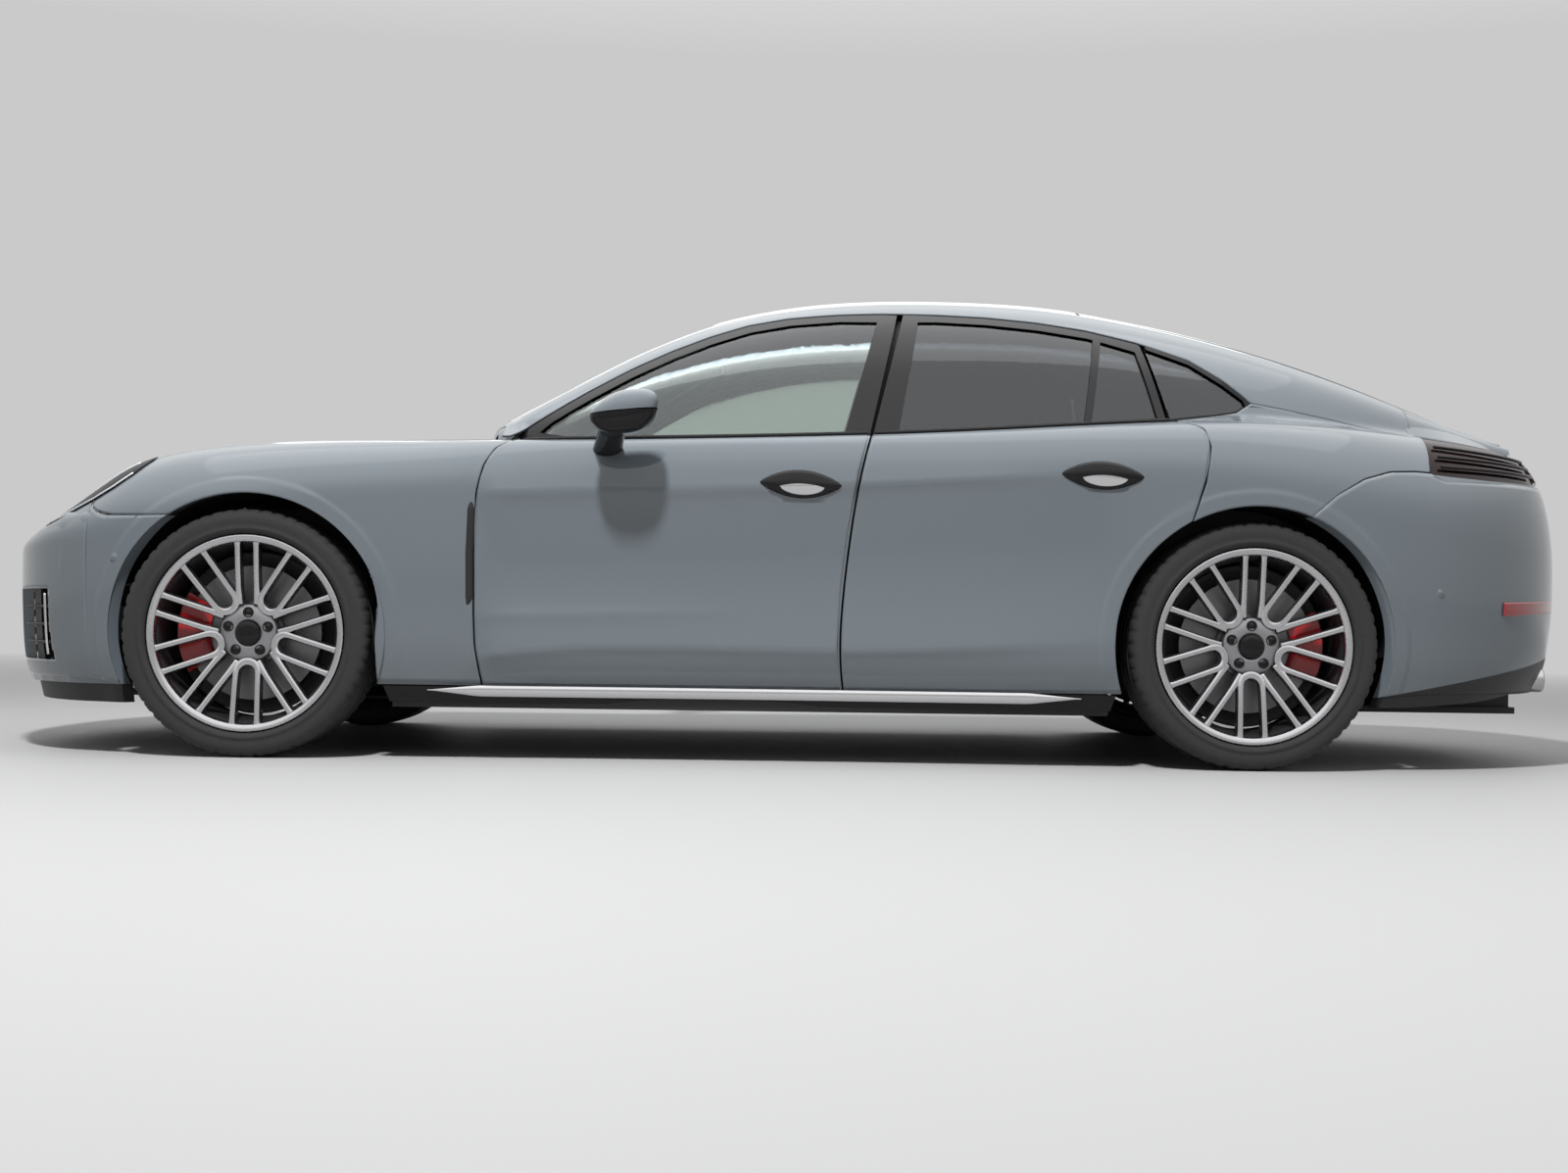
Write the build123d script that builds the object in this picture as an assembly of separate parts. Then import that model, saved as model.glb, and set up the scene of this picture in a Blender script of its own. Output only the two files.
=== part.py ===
"""Sports sedan: a low five-door fastback as an assembly of panels, glass, wheels and running gear.

Frame: +X to the nose, +Y to the car's left, +Z up, origin on the ground under the middle. Units mm.
Every outer panel is cut from one shared body surface, so neighbouring panels stay flush.
"""
import os

import numpy as np
from build123d import *

# driving dimensions
LENGTH = 4900.0
WHEELBASE = 2900.0
FRONT_OVERHANG = 885.0
FRONT_HALF = 958.0
WAIST_HALF = 924.0
HAUNCH_HALF = 970.0
TYRE_R = 358.0
TYRE_W = 265.0
RIM_R = 284.0
WHEEL_FACE = 955.0
ARCH_R = 402.0
SILL_Z = 222.0
SILL_TOP = 213.0
SEAT = 0.3
GAP = 6.0
SKIN = 28.0
DOOR_DEPTH = 112.0
PILLAR = 34.0
PANE = 6.0
DOOR_OPEN = 66.0
REAR_OVERHANG = LENGTH - FRONT_OVERHANG - WHEELBASE
FRONT_AXLE = LENGTH / 2 - FRONT_OVERHANG
REAR_AXLE = FRONT_AXLE - WHEELBASE
WHEEL_Y = WHEEL_FACE - TYRE_W / 2

os.makedirs("parts", exist_ok=True)


def spline(xs, ys):
    """Natural cubic spline through the points, held flat outside them."""
    order = np.argsort(xs)
    x = np.array(xs, float)[order]
    y = np.array(ys, float)[order]
    h = np.diff(x)
    n = len(x)
    a = np.eye(n)
    r = np.zeros(n)
    for i in range(1, n - 1):
        a[i, i - 1:i + 2] = h[i - 1], 2 * (h[i - 1] + h[i]), h[i]
        r[i] = 6 * ((y[i + 1] - y[i]) / h[i] - (y[i] - y[i - 1]) / h[i - 1])
    m = np.linalg.solve(a, r)

    def value(q):
        q = np.clip(np.asarray(q, float), x[0], x[-1])
        i = np.clip(np.searchsorted(x, q) - 1, 0, n - 2)
        u = (x[i + 1] - q) / h[i]
        v = 1 - u
        bend = (u**3 - u) * m[i] + (v**3 - v) * m[i + 1]
        return u * y[i] + v * y[i + 1] + bend * h[i]**2 / 6
    return value


# long curves of the body
WIDEST_Z = spline([2040, 1950, 1565, 900, 0, -834, -1335, -1850],
                  [620, 640, 715, 767, 805, 835, 800, 690])
CREST_Z = spline([2040, 1950, 1841, 1700, 1547, 1342, 1101, 902, 590, 304, 17, -270, -557, -844, -1000,
                  -1131, -1335, -1600, -1850],
                 [790, 845, 883, 906, 920, 928, 930, 930, 932, 939, 948, 959, 974, 993, 1003,
                  1011, 1016, 1008, 990])
CREST_Y = spline([2040, 1950, 1841, 1700, 1547, 1342, 1101, 902, 750, 600, 300, -300, -600, -900, -1131,
                  -1335, -1600, -1850],
                 [690, 715, 732, 742, 752, 772, 803, 838, 858, 868, 873, 874, 872, 862, 845,
                  822, 775, 705])
BASE_Y = spline([1075, 1000, 917, 813, 700, 600, 300, -300, -600, -900, -1131, -1335, -1600, -1850,
                 -2050, -2200, -2310],
                [380, 560, 690, 780, 832, 852, 858, 860, 857, 846, 826, 800, 752, 682,
                 618, 566, 520])
BASE_Z = spline([1075, 900, 600, 304, 17, -270, -557, -844, -1131, -1335, -1600, -1850, -2100, -2310],
                [905, 912, 918, 925, 934, 945, 960, 979, 996, 1001, 993, 975, 955, 942])
TOP_Z = spline([1075, 932, 826, 702, 577, 453, 328, 204, 79, -46, -170, -295, -419, -596, -749, -902,
                -1056, -1209, -1362, -1515, -1668, -1822, -1975, -2120, -2220, -2310],
               [925, 992, 1052, 1126, 1200, 1268, 1323, 1366, 1396, 1417, 1429, 1435, 1436, 1432,
                1422, 1402, 1373, 1339, 1298, 1251, 1198, 1139, 1076, 1022, 991, 972])
RAIL_H = spline([1000, 826, 702, 577, 453, 328, 204, -46, -419, -749, -900, -1056, -1209, -1362, -1515,
                 -1668, -1822, -1975, -2310],
                [0.45, 0.60, 0.69, 0.755, 0.82, 0.87, 0.90, 0.90, 0.895, 0.88, 0.865, 0.85, 0.83, 0.80,
                 0.76, 0.71, 0.65, 0.57, 0.45])
HOOD_Z = spline([2335, 2300, 2200, 2100, 2000, 1900, 1800, 1600, 1400, 1200, 1035, 850],
                [652, 674, 722, 766, 803, 834, 860, 902, 934, 960, 976, 984])


def half_width(x):
    """Half width of the widest line: waisted doors, full arches, rounded nose and tail."""
    x = np.asarray(x, float)
    front = np.clip((x - FRONT_AXLE) / FRONT_OVERHANG, 0, 1)
    rear = np.clip((REAR_AXLE - x) / REAR_OVERHANG, 0, 1)
    nose = FRONT_HALF * (1 - front**3.2)**(1 / 2.2)
    tail = HAUNCH_HALF * (1 - rear**3.2)**(1 / 2.2)
    ahead = np.clip((x - 200) / (FRONT_AXLE - 200), 0, 1)
    behind = np.clip((200 - x) / (200 - REAR_AXLE), 0, 1)
    mid = WAIST_HALF + (FRONT_HALF - WAIST_HALF) * (1 - np.cos(np.pi * ahead)) / 2
    mid = mid + (HAUNCH_HALF - WAIST_HALF) * (1 - np.cos(np.pi * behind)) / 2
    return np.where(x > FRONT_AXLE, nose, np.where(x < REAR_AXLE, tail, mid))


DOOR_INSET = spline([0, 0.08, 0.3, 0.5, 0.68, 0.8, 0.9, 1.0, 1.2], [0, 3, 13, 16, 9, 5, 12, 34, 60])
WING_INSET = spline([0, 0.3, 0.6, 0.85, 1.0, 1.2], [0, 1, 7, 19, 36, 62])


def side_y(x, z):
    """Half width of the lower body at a station and a height, up to the crest line."""
    x = np.asarray(x, float)
    z = np.asarray(z, float)
    w = half_width(x)
    zm = WIDEST_Z(x)
    zc = CREST_Z(x)
    yc = CREST_Y(x)
    u = np.clip((z - zm) / (zc - zm), 0, 1)
    upper = yc + (w - yc) * np.sqrt(np.clip(1 - u**2.2, 0, 1)) - np.clip(z - zc, 0, None) * 2.0
    q = np.clip((zm - z) / (zm - SILL_Z), 0, 1.2)
    doors = np.clip((1000 - x) / 250, 0, 1) * np.clip((x + 1150) / 350, 0, 1)
    doors = doors * doors * (3 - 2 * doors)
    lower = w - doors * DOOR_INSET(q) - (1 - doors) * WING_INSET(q)
    return np.where(z > zm, upper, lower)


def canopy_y(x, z):
    """Half width of the glasshouse: leaning sides that round over into the roof."""
    zb = BASE_Z(x)
    h = np.clip((np.asarray(z, float) - zb) / (TOP_Z(x) - zb), -1, 1)
    lean = BASE_Y(x) - 0.34 * (z - zb)
    return lean * np.clip(1 - np.clip(h, 0, 1)**4, 0, 1)**0.25


def body_y(x, z):
    """Lower body and glasshouse blended into one side surface."""
    a = side_y(x, z)
    b = canopy_y(x, z)
    return (a + b + np.sqrt((a - b)**2 + 14.0**2)) / 2


def roof_z(x, y):
    """Height of the glasshouse over a plan point, found along each section."""
    x, y = np.broadcast_arrays(np.asarray(x, float), np.abs(np.asarray(y, float)))
    out = np.empty(x.shape)
    h = 1 - np.linspace(1, 0, 400)**2
    for i in np.ndindex(x.shape):
        zb = float(BASE_Z(x[i]))
        zs = zb + h * (float(TOP_Z(x[i])) - zb)
        ys = (float(BASE_Y(x[i])) - 0.34 * (zs - zb)) * (1 - h**4)**0.25
        out[i] = np.interp(-y[i], -ys, zs)
    return out


# the nose and the tail: plan outlines wrapped round to the middle
TN = [0, 0.1, 0.2, 0.3, 0.4, 0.5, 0.6, 0.7, 0.8, 0.9, 1.0]
NOSE_X = spline(TN, [2040, 2098, 2155, 2205, 2245, 2275, 2300, 2316, 2327, 2333, 2335])
NOSE_Y = spline(TN, [690, 655, 612, 560, 497, 425, 345, 262, 175, 88, 0])
NOSE_Z = spline(TN, [790, 749, 712, 686, 671, 664, 659, 656, 654, 653, 652])
TT = [0, 0.2, 0.4, 0.6, 0.8, 1.0]
TAIL_X = spline(TT, [-1850, -2010, -2140, -2235, -2290, -2310])
TAIL_Y = spline(TT, [705, 672, 590, 440, 230, 0])
TAIL_Z = spline(TT, [990, 972, 960, 954, 951, 950])


def wrap(t, z, nose=True):
    """Point of the nose or tail surface; t runs from the side (0) to the middle (1)."""
    t = np.asarray(t, float)
    z = np.asarray(z, float)
    over = FRONT_OVERHANG if nose else REAR_OVERHANG
    half = FRONT_HALF if nose else HAUNCH_HALF
    start = (475.0 if nose else 515.0) / over
    a0 = np.arcsin(start**1.6)
    a = a0 + t * (np.pi / 2 - a0)
    px = over * np.sin(a)**(2 / 3.2)
    py = half * np.clip(np.cos(a), 0, 1)**(2 / 2.2)
    gx = 3.2 / over * (px / over)**2.2
    gy = 2.2 / half * (py / half)**1.2
    g = np.hypot(gx, gy)
    zm = (620 - 60 * t) if nose else (690 - 190 * t)
    zc = NOSE_Z(t) if nose else TAIL_Z(t)
    cx = (NOSE_X(t) - FRONT_AXLE) if nose else (REAR_AXLE - TAIL_X(t))
    cy = NOSE_Y(t) if nose else TAIL_Y(t)
    f = np.sqrt(np.clip(1 - np.clip((z - zm) / (zc - zm), 0, 1)**2.2, 0, 1))
    q = np.clip((zm - z) / (zm - SILL_Z), 0, 1.2)
    inset = WING_INSET(q) * ((1 - 0.6 * t) if nose else (1 + 1.2 * t))
    x = np.where(z > zm, cx + (px - cx) * f, px - inset * gx / g)
    y = np.where(z > zm, cy + (py - cy) * f, py - inset * gy / g)
    x = FRONT_AXLE + x if nose else REAR_AXLE - x
    return x, np.clip(y, 0, None), z + 0 * t


# building blocks
def face(x, y, z, tol=0.4):
    """One smooth face through a grid of points."""
    rows = np.stack(np.broadcast_arrays(x, y, z), -1)
    return Face.make_surface_from_array_of_points([[tuple(map(float, p)) for p in r] for r in rows], tol=tol)


def slab(x, y, z, move, shift=(0, 0, 0), tol=0.4):
    """A smooth face pushed along a direction into a solid."""
    base = face(x, y, z, tol).moved(Location(shift))
    return Solid.extrude(base, Vector(*move))


def side_slab(x0, x1, z0, z1, depth, shift=0.0, fun=body_y, nx=22, nz=16, gather=1.5):
    """Body side between two stations; the lower and upper edges may be curves over x."""
    xs = np.linspace(x0, x1, nx)[:, None] + np.zeros((1, nz))
    u = 1 - (1 - np.linspace(0, 1, nz)[None, :])**gather
    lo = z0(xs) if callable(z0) else z0
    hi = z1(xs) if callable(z1) else z1
    zs = lo + (hi - lo) * u
    return slab(xs, fun(xs, zs), zs, (0, -depth, 0), (0, -shift, 0))


def top_slab(xa, xb, half, depth, fun, nx=20, ny=17, shift=0.0):
    """Top panel between two curves over the width, symmetric about the middle."""
    u = np.linspace(0, 1, nx)[:, None]
    v = np.sin(np.linspace(-1, 1, ny) * np.pi / 2)[None, :]
    x = xa(v) + (xb(v) - xa(v)) * u
    y = v * half(x)
    return slab(x, y, fun(x, y), (0, 0, -depth), (0, 0, -shift))


def const(v):
    return lambda q: v + 0 * q


def ring(points, grow=0.0):
    """Closed outline moved outward by a distance; corners keep their sharpness."""
    p = np.array(points, float)
    area = np.sum(p[:, 0] * np.roll(p[:, 1], -1) - np.roll(p[:, 0], -1) * p[:, 1])
    d = np.roll(p, -1, 0) - p
    d = d / np.linalg.norm(d, axis=1)[:, None]
    n = np.stack([d[:, 1], -d[:, 0]], 1) * np.sign(area)
    m = np.roll(n, 1, 0)
    k = 1 + np.sum(n * m, 1)
    return p + grow * (n + m) / k[:, None]


def prism(points, y0, y1, grow=0.0, corners=None):
    """Side-view outline (x, z) pushed across the car between two y values."""
    p = ring(points, grow)
    marks = sorted(corners) if corners else list(range(len(p)))
    if np.sum(p[:, 0] * np.roll(p[:, 1], -1) - np.roll(p[:, 0], -1) * p[:, 1]) > 0:
        p = p[::-1]
        marks = sorted(len(p) - 1 - i for i in marks)
    pts = [(float(a), y0, float(b)) for a, b in p]
    edges = []
    for i, j in zip(marks, marks[1:] + [marks[0] + len(pts)]):
        run = [pts[k % len(pts)] for k in range(i, j + 1)]
        edges.append(Line(run[0], run[1]) if len(run) == 2 else Spline(*run))
    return Solid.extrude(Face(Wire(edges)), Vector(0, y1 - y0, 0))


def box(x0, x1, y0, y1, z0, z1):
    return Solid.make_box(x1 - x0, y1 - y0, z1 - z0).moved(Location((x0, y0, z0)))


def tube_y(x, z, r, y0, y1):
    return Solid.make_cylinder(r, y1 - y0, Plane((x, y0, z), z_dir=(0, 1, 0)))


def bar(a, b, r):
    a = Vector(*a)
    b = Vector(*b)
    return Solid.make_cylinder(r, (b - a).length, Plane(a, z_dir=b - a))


def join(*items):
    out = items[0]
    for s in items[1:]:
        out = out + s
    return out


def flip(s):
    return s.mirror(Plane.XZ)


def mirrored(s):
    return [s, flip(s)]


def solids(s):
    return list(s.solids())


NODES = {}


def keep(name, *shapes):
    """Write one node; several shapes on it are solids that do not touch."""
    found = [b for s in shapes for b in solids(s)]
    found = [b for b in found if b.volume > 500]
    part = found[0] if len(found) == 1 else Compound(children=found)
    export_step(part, f"parts/{name}.step")
    NODES[name] = found
    bad = [b for b in found if not b.is_valid]
    print(name, len(found), "solids", round(sum(b.volume for b in found) / 1e6, 2), "litres", "BAD" if bad else "")


# side-view outlines
DLO_TOP = [(827, 944), (716, 1014), (600, 1087), (483, 1156), (366, 1217), (250, 1268), (136, 1308), (17, 1332),
           (-133, 1345), (-267, 1349), (-431, 1346), (-581, 1338), (-730, 1322), (-879, 1297), (-1029, 1258),
           (-1178, 1204), (-1275, 1141), (-1335, 1092), (-1354, 1072)]
DLO_LOW = [(-1308, 1046), (-1245, 1035), (-1131, 1019), (-987, 1006)]
FRONT_SHUT = [(742, 975), (776, 952), (812, 933), (856, 904), (886, 853), (905, 774), (912, 591), (910, 420),
              (906, 328), (893, 249), (886, 205)]
MID_SHUT = [(-158, 205), (-146, 342), (-154, 499), (-171, 656), (-200, 839), (-231, 960), (-327, 1342), (-337, 1380)]
REAR_SHUT = [(-1146, 713), (-1183, 825), (-1200, 930), (-1188, 985), (-1150, 1006), (-1102, 1017)]
B_FRONT = [(-150, 955), (-261, 1340)]
B_REAR = [(-309, 955), (-382, 1346)]
DIV_ONE = [(-861, 985), (-907, 1290)]
DIV_TWO = [(-1102, 1017), (-1040, 1252)]


def arch_arc(xa, a0, a1, r, n=13):
    """Points on a wheel arch circle from angle a0 to a1 in degrees."""
    a = np.radians(np.linspace(a0, a1, n))
    return [(xa + r * np.cos(t), TYRE_R + r * np.sin(t)) for t in a]


def mid_at(z):
    p = np.array(MID_SHUT)
    return float(np.interp(z, p[:, 1], p[:, 0]))


def dlo_at(x):
    p = np.array(DLO_TOP)[::-1]
    return np.interp(x, p[:, 0], p[:, 1])


REACH = 1200.0
MID_LOW = [p for p in MID_SHUT if p[1] <= 960]

# doors
half = GAP / 2
front_pts = FRONT_SHUT + MID_LOW + [(-240, 1000)]
nf, nm = len(FRONT_SHUT), len(MID_LOW)
front_marks = [0, nf - 1, nf, nf + nm - 1, nf + nm]
arch_r = arch_arc(REAR_AXLE, -22.2, 62.0, ARCH_R)
rear_pts = MID_LOW + [(-240, 1045), (-1060, 1045)] + REAR_SHUT[::-1] + arch_r[::-1][1:]
k0 = nm + 2
rear_marks = [0, nm - 1, nm, nm + 1, k0, k0 + len(REAR_SHUT) - 1, len(rear_pts) - 1]


def belt(dz):
    return lambda x: CREST_Z(x) + dz


def door(front):
    """Door: skin to the cut lines, a deep inner box set in from them, and the window frame."""
    pts = front_pts if front else rear_pts
    marks = front_marks if front else rear_marks
    x0, x1 = (930, -260) if front else (-120, -1230)
    skin = side_slab(x0, x1, SILL_Z - 6, belt(-4), SKIN, fun=side_y, nx=26)
    skin = skin & prism(pts, 0, REACH, -half, marks)
    if front:
        inner = [(700, 985), (790, 905), (830, 800), (842, 560), (836, 330), (812, 262),
                 (-70, 262), (-76, 500), (-118, 840), (-150, 985)]
        cut = [(860, 955)] + [(x, z - 3) for x, z in DLO_TOP if x > -300] + [(mid_at(1342) + 14, 1344)]
        cut = [(845, 800)] + cut[1:] + [(mid_at(960) + 5, 960), (mid_at(800) + 40, 800)]
        hole = [(745, 958)] + [(x - 8, z - 26) for x, z in DLO_TOP if -200 < x < 740]
        hole = hole + [(-252, 1318), (-152, CREST_Z(-152) + 4)]
        hole = hole + [(x, float(CREST_Z(x)) + 4) for x in (100, 350, 600)]
        cx0, cx1 = 860, -340
    else:
        inner = [(-250, 262), (-262, 560), (-290, 840), (-330, 1030), (-1020, 1030), (-1085, 960), (-1085, 850),
                 (-1000, 780), (-870, 660), (-800, 500), (-790, 262)]
        cut = [(mid_at(800) - 60, 800), (mid_at(960) - 5, 960), (mid_at(1342) - 5, 1346)]
        cut = cut + [(x, z - 3) for x, z in DLO_TOP if -1030 < x < -340]
        cut = cut + [(-1035, 1250), (-1095, 1019), (-1050, 880), (-1020, 800)]
        hole = [(-309, CREST_Z(-309) + 4), (-374, 1319)] + [(x, z - 26) for x, z in DLO_TOP if -890 < x < -400]
        hole = hole + [(-895, 1266), (-852, CREST_Z(-852) + 6)]
        hole = hole + [(x, float(CREST_Z(x)) + 4) for x in (-700, -500)]
        hole2 = [(-874, CREST_Z(-874) + 8), (-917, 1260), (-1018, 1229), (-1071, CREST_Z(-1071) + 12)]
        cx0, cx1 = -130, -1130
    core = side_slab(x0, x1, SILL_Z, belt(-10), DOOR_DEPTH - 20, shift=20, fun=side_y, nx=26)
    core = core & prism(inner, 0, REACH)
    frame = side_slab(cx0, cx1, belt(-70), lambda x: np.minimum(dlo_at(x) + 30, BASE_Z(x) + 0.97 * (TOP_Z(x) - BASE_Z(x))),
                      38.0, fun=canopy_y, nx=26, gather=1.2)
    panes = [hole] if front else [hole, hole2]
    outline = prism(cut, 0, REACH)
    for h in panes:
        outline = outline - prism(h, 0, REACH)
    frame = frame & outline
    glass = []
    for h in panes:
        xs = [p[0] for p in h]
        sheet = side_slab(max(xs) + 20, min(xs) - 20, belt(-20),
                          lambda x: np.minimum(dlo_at(x) + 30, BASE_Z(x) + 0.97 * (TOP_Z(x) - BASE_Z(x))),
                          PANE, shift=9, fun=canopy_y, gather=1.2)
        glass.append(sheet & prism(h, 0, REACH, -0.3))
    whole = join(skin, core, frame)
    grip_x, grip_z = (-26, 808) if front else (-888, 842)
    grip_y = float(side_y(grip_x, grip_z))
    whole = whole + box(grip_x - 112, grip_x + 112, grip_y - 12, grip_y + 14, grip_z - 26, grip_z + 26)
    return whole, glass


for name, is_front in (("front", True), ("rear", False)):
    body, glass = door(is_front)
    keep(f"{name}_door_l", body)
    keep(f"{name}_door_r", flip(body))
    keep(f"{name}_door_glass_l", *glass)
    keep(f"{name}_door_glass_r", *[flip(g) for g in glass])


# roof rails with the A and C pillars, quarter panels and B pillars
SEAM = [(-1450, 1058), (-1600, 1032), (-1750, 1003), (-1862, 981)]


def rail_z(x):
    return BASE_Z(x) + RAIL_H(x) * (TOP_Z(x) - BASE_Z(x))


def rail_y(x):
    return canopy_y(x, rail_z(x))


rail = side_slab(878, -2200, lambda x: BASE_Z(x) + 3, rail_z, PILLAR, fun=canopy_y, nx=44, nz=8, gather=1.0)
dlo_cut = DLO_TOP + [(x, z - 3) for x, z in SEAM] + [(-1862, 800), (880, 800), (858, 920)]
n_top = len(DLO_TOP)
rail = rail - prism(dlo_cut, 0, REACH, half, [0, n_top - 1, n_top + 3, n_top + 4, n_top + 5, n_top + 6])
post = prism([(mid_at(z) - 48, z) for z in (SILL_TOP + SEAT, 420, 640, 860, 950)]
             + [(mid_at(z) + 40, z) for z in (950, 860, 640, 420, SILL_TOP + SEAT)], 775, 818)
upper = side_slab(0, -440, belt(-70), lambda x: rail_z(x) - 4, 40, shift=48, fun=canopy_y, nx=12, nz=14, gather=1.0)
upper = upper & prism([(mid_at(z) - 50, z) for z in (880, 1000, 1200, 1400)]
                      + [(mid_at(z) + 42, z) for z in (1400, 1200, 1000, 880)], 0, REACH)
post = post + (upper - top_slab(const(50.0), const(-500.0), lambda x: rail_y(x) - 8, 94.5, roof_z, nx=10, shift=-60))
keep("b_pillars", post, flip(post))
arch_top = arch_arc(REAR_AXLE, 62.0, 112.4, ARCH_R, 9)
SPLIT = [(-1488, 730), (-1560, 792), (-1640, 840), (-1720, 864), (-1800, 868), (-1846, 866)]
quarter_pts = (REAR_SHUT[:-1] + [(-1131, 1016.5), (-1245, 1034.5), (-1308, 1045.5), (-1354, 1071.5)]
               + [(x, z + 2.4) for x, z in SEAM[:-1]] + [(-1848, 987)]
               + [(x - 1.0, z + 8.5) for x, z in SPLIT[::-1]] + arch_top[::-1][1:-1])
quarter = side_slab(-1090, -1850, 640, 1085, SKIN, fun=body_y, nx=18, nz=20, gather=1.0)
quarter = quarter & prism(quarter_pts, 0, REACH, -half)
keep("body_side_l", rail, quarter)
keep("body_side_r", flip(rail), flip(quarter))
pane = side_slab(-1030, -1360, 1000, lambda x: dlo_at(x) + 20, PANE, shift=9, fun=canopy_y, gather=1.0)
pane_pts = [(-1048, 1240), (-1108, 1022), (-1245, 1039), (-1308, 1050), (-1338, 1068), (-1330, 1084), (-1272, 1129),
            (-1176, 1192)]
pane = pane & prism(pane_pts, 0, REACH)
frame_q = side_slab(-1030, -1370, 1000, lambda x: np.minimum(dlo_at(x) + 20, rail_z(x)), 30, fun=canopy_y, gather=1.0)
frame_q = frame_q & prism([(-1040, 1254), (-1178, 1204), (-1275, 1141), (-1335, 1092), (-1354, 1072), (-1308, 1046),
                           (-1245, 1035), (-1131, 1019), (-1090, 1016)], 0, REACH, 2.3)
frame_q = frame_q & prism([(-1046, 1270), (-1111, 1005), (-1400, 1005), (-1400, 1270)], 0, REACH)
frame_q = frame_q - prism(pane_pts, 0, REACH, 0.3)
keep("quarter_glass", pane, flip(pane))
keep("quarter_window_frame", frame_q, flip(frame_q))

# front wings
wing = side_slab(720, 2040, SILL_Z - 6, belt(-4), SKIN, fun=side_y, nx=34, nz=20)
wing_pts = ([(1787, 690.6), (1955, 692), (1985, 697), (2013, 705), (2033, 719), (2033, 764), (1971, 799), (1912, 833), (1864, 871),
             (1840, 960), (742, 990)] + FRONT_SHUT[1:] + [(1186, 205)] + arch_arc(FRONT_AXLE, 202, 57.5, ARCH_R, 21))
wing = wing & prism(wing_pts, 0, REACH, -half)
keep("front_wing_l", wing)
keep("front_wing_r", flip(wing))

# headlamps
LAMP_X = [1867, 1912, 1971, 2031]
LAMP_Z = spline([1867, 1912, 1971, 2031], [866, 830, 796, 764])
LAMP_T = spline([0, 0.07, 0.15, 0.22, 0.28], [758, 733, 706, 690, 679])


def lamp_grid(rows, low, top):
    u = np.linspace(0, 1, rows)[None, :]
    xs = np.linspace(1872, 2030, 9)[:, None]
    za = LAMP_Z(xs) + low
    zb = CREST_Z(xs) - top
    z1 = za + (zb - za) * u
    a = np.stack([xs + 0 * z1, side_y(xs + 0 * z1, z1), z1], -1)
    t = np.linspace(0.03, 0.27, 9)[:, None]
    za = LAMP_T(t) + low
    zb = NOSE_Z(t) - top
    z2 = za + (zb - za) * u
    b = np.stack(wrap(t + 0 * z2, z2), -1)
    return np.concatenate([a, b], 0)


g = lamp_grid(8, 2.0, 4)
lamp = slab(g[..., 0], g[..., 1], g[..., 2], (0, -SKIN, 0))
keep("headlamps", lamp, flip(lamp))


# bumpers
def wrap_grid(xs, ts, lo, hi, rows, nose):
    """Columns down the side, then round the corner to the middle; lo and hi are lists per column."""
    u = np.linspace(0, 1, rows)[None, :]
    lo = np.array(lo)[:, None]
    hi = np.array(hi)[:, None]
    z = lo + (hi - lo) * u
    k = len(xs)
    x = np.array(xs)[:, None] + 0 * z[:k]
    if k > 2:
        axle = FRONT_AXLE if nose else REAR_AXLE
        edge = axle + np.sign(xs[0] - axle) * np.sqrt((ARCH_R + 3)**2 - (z[:1] - TYRE_R)**2)
        x = edge + (xs[-1] - edge) * (x - xs[0]) / (xs[-1] - xs[0])
    a = np.stack([x, side_y(x, z[:k]), z[:k]], -1)
    b = np.stack(wrap(np.array(ts)[:, None] + 0 * z[k:], z[k:], nose), -1)
    g = np.concatenate([a, b], 0)
    return g[..., 0], g[..., 1], g[..., 2]


def both(s):
    s = s & box(-3000, 3000, 0, 1500, -100, 2000)
    return s + flip(s)


fx = [1775, 1841, 1907, 1974]
ft = list(np.linspace(0, 1, 15))
f_low = [205] * 19
f_top = [692.6, 692.6, 692.6, 693] + list(spline([0, 0.07, 0.14, 0.21, 0.28, 0.36, 0.45, 0.6, 0.8, 1.0],
                                                [702, 710, 702, 689, 678, 669, 661, 653, 648, 646])(ft))
bumper = slab(*wrap_grid(fx, ft, f_low, f_top, 12, True), (-24, -24, 0), tol=1.6)
bumper = both(bumper)
mouth = box(2200, 2500, -430, 430, 270, 545)
vents = box(2000, 2500, 500, 800, 270, 480)
bumper = bumper - mouth - vents - flip(vents)
keep("front_bumper", bumper)


def nose_band(t0, z0, z1, move, shift, n=9, rows=4, t1=1.0):
    """Band of the nose surface between two heights, from t0 to t1, set back and thickened."""
    ts = np.linspace(t0, t1, n)
    return slab(*wrap_grid([], ts, [z0] * n, [z1] * n, rows, True), move, shift)


grid = nose_band(0.62, 262, 553, (-9, -9, 0), (-26.4, -26.4, 0), rows=6)
for z in (285, 340, 395, 450, 505):
    grid = grid + nose_band(0.62, z, z + 22, (-24, -24, 0), (-5, -5, 0))
grid = both(grid & box(2000, 2600, -10, 429.7, 255, 560))
mesh_l = nose_band(0.36, 262, 488, (-9, -9, 0), (-26.4, -26.4, 0), rows=6, t1=0.62) & box(2000, 2600, 505, 795, 262, 488)
keep("grille", grid, mesh_l, flip(mesh_l))
lip_t = [0.0, 0.1, 0.2, 0.3, 0.4, 0.5, 0.6, 0.7, 0.8, 0.9, 1.0]
lip = slab(*wrap_grid([1960, 2000], lip_t, [150] * 13, [204.7] * 13, 5, True), (-24, -24, 0), (-20, -16, 0))
keep("front_lip", both(lip))

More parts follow.
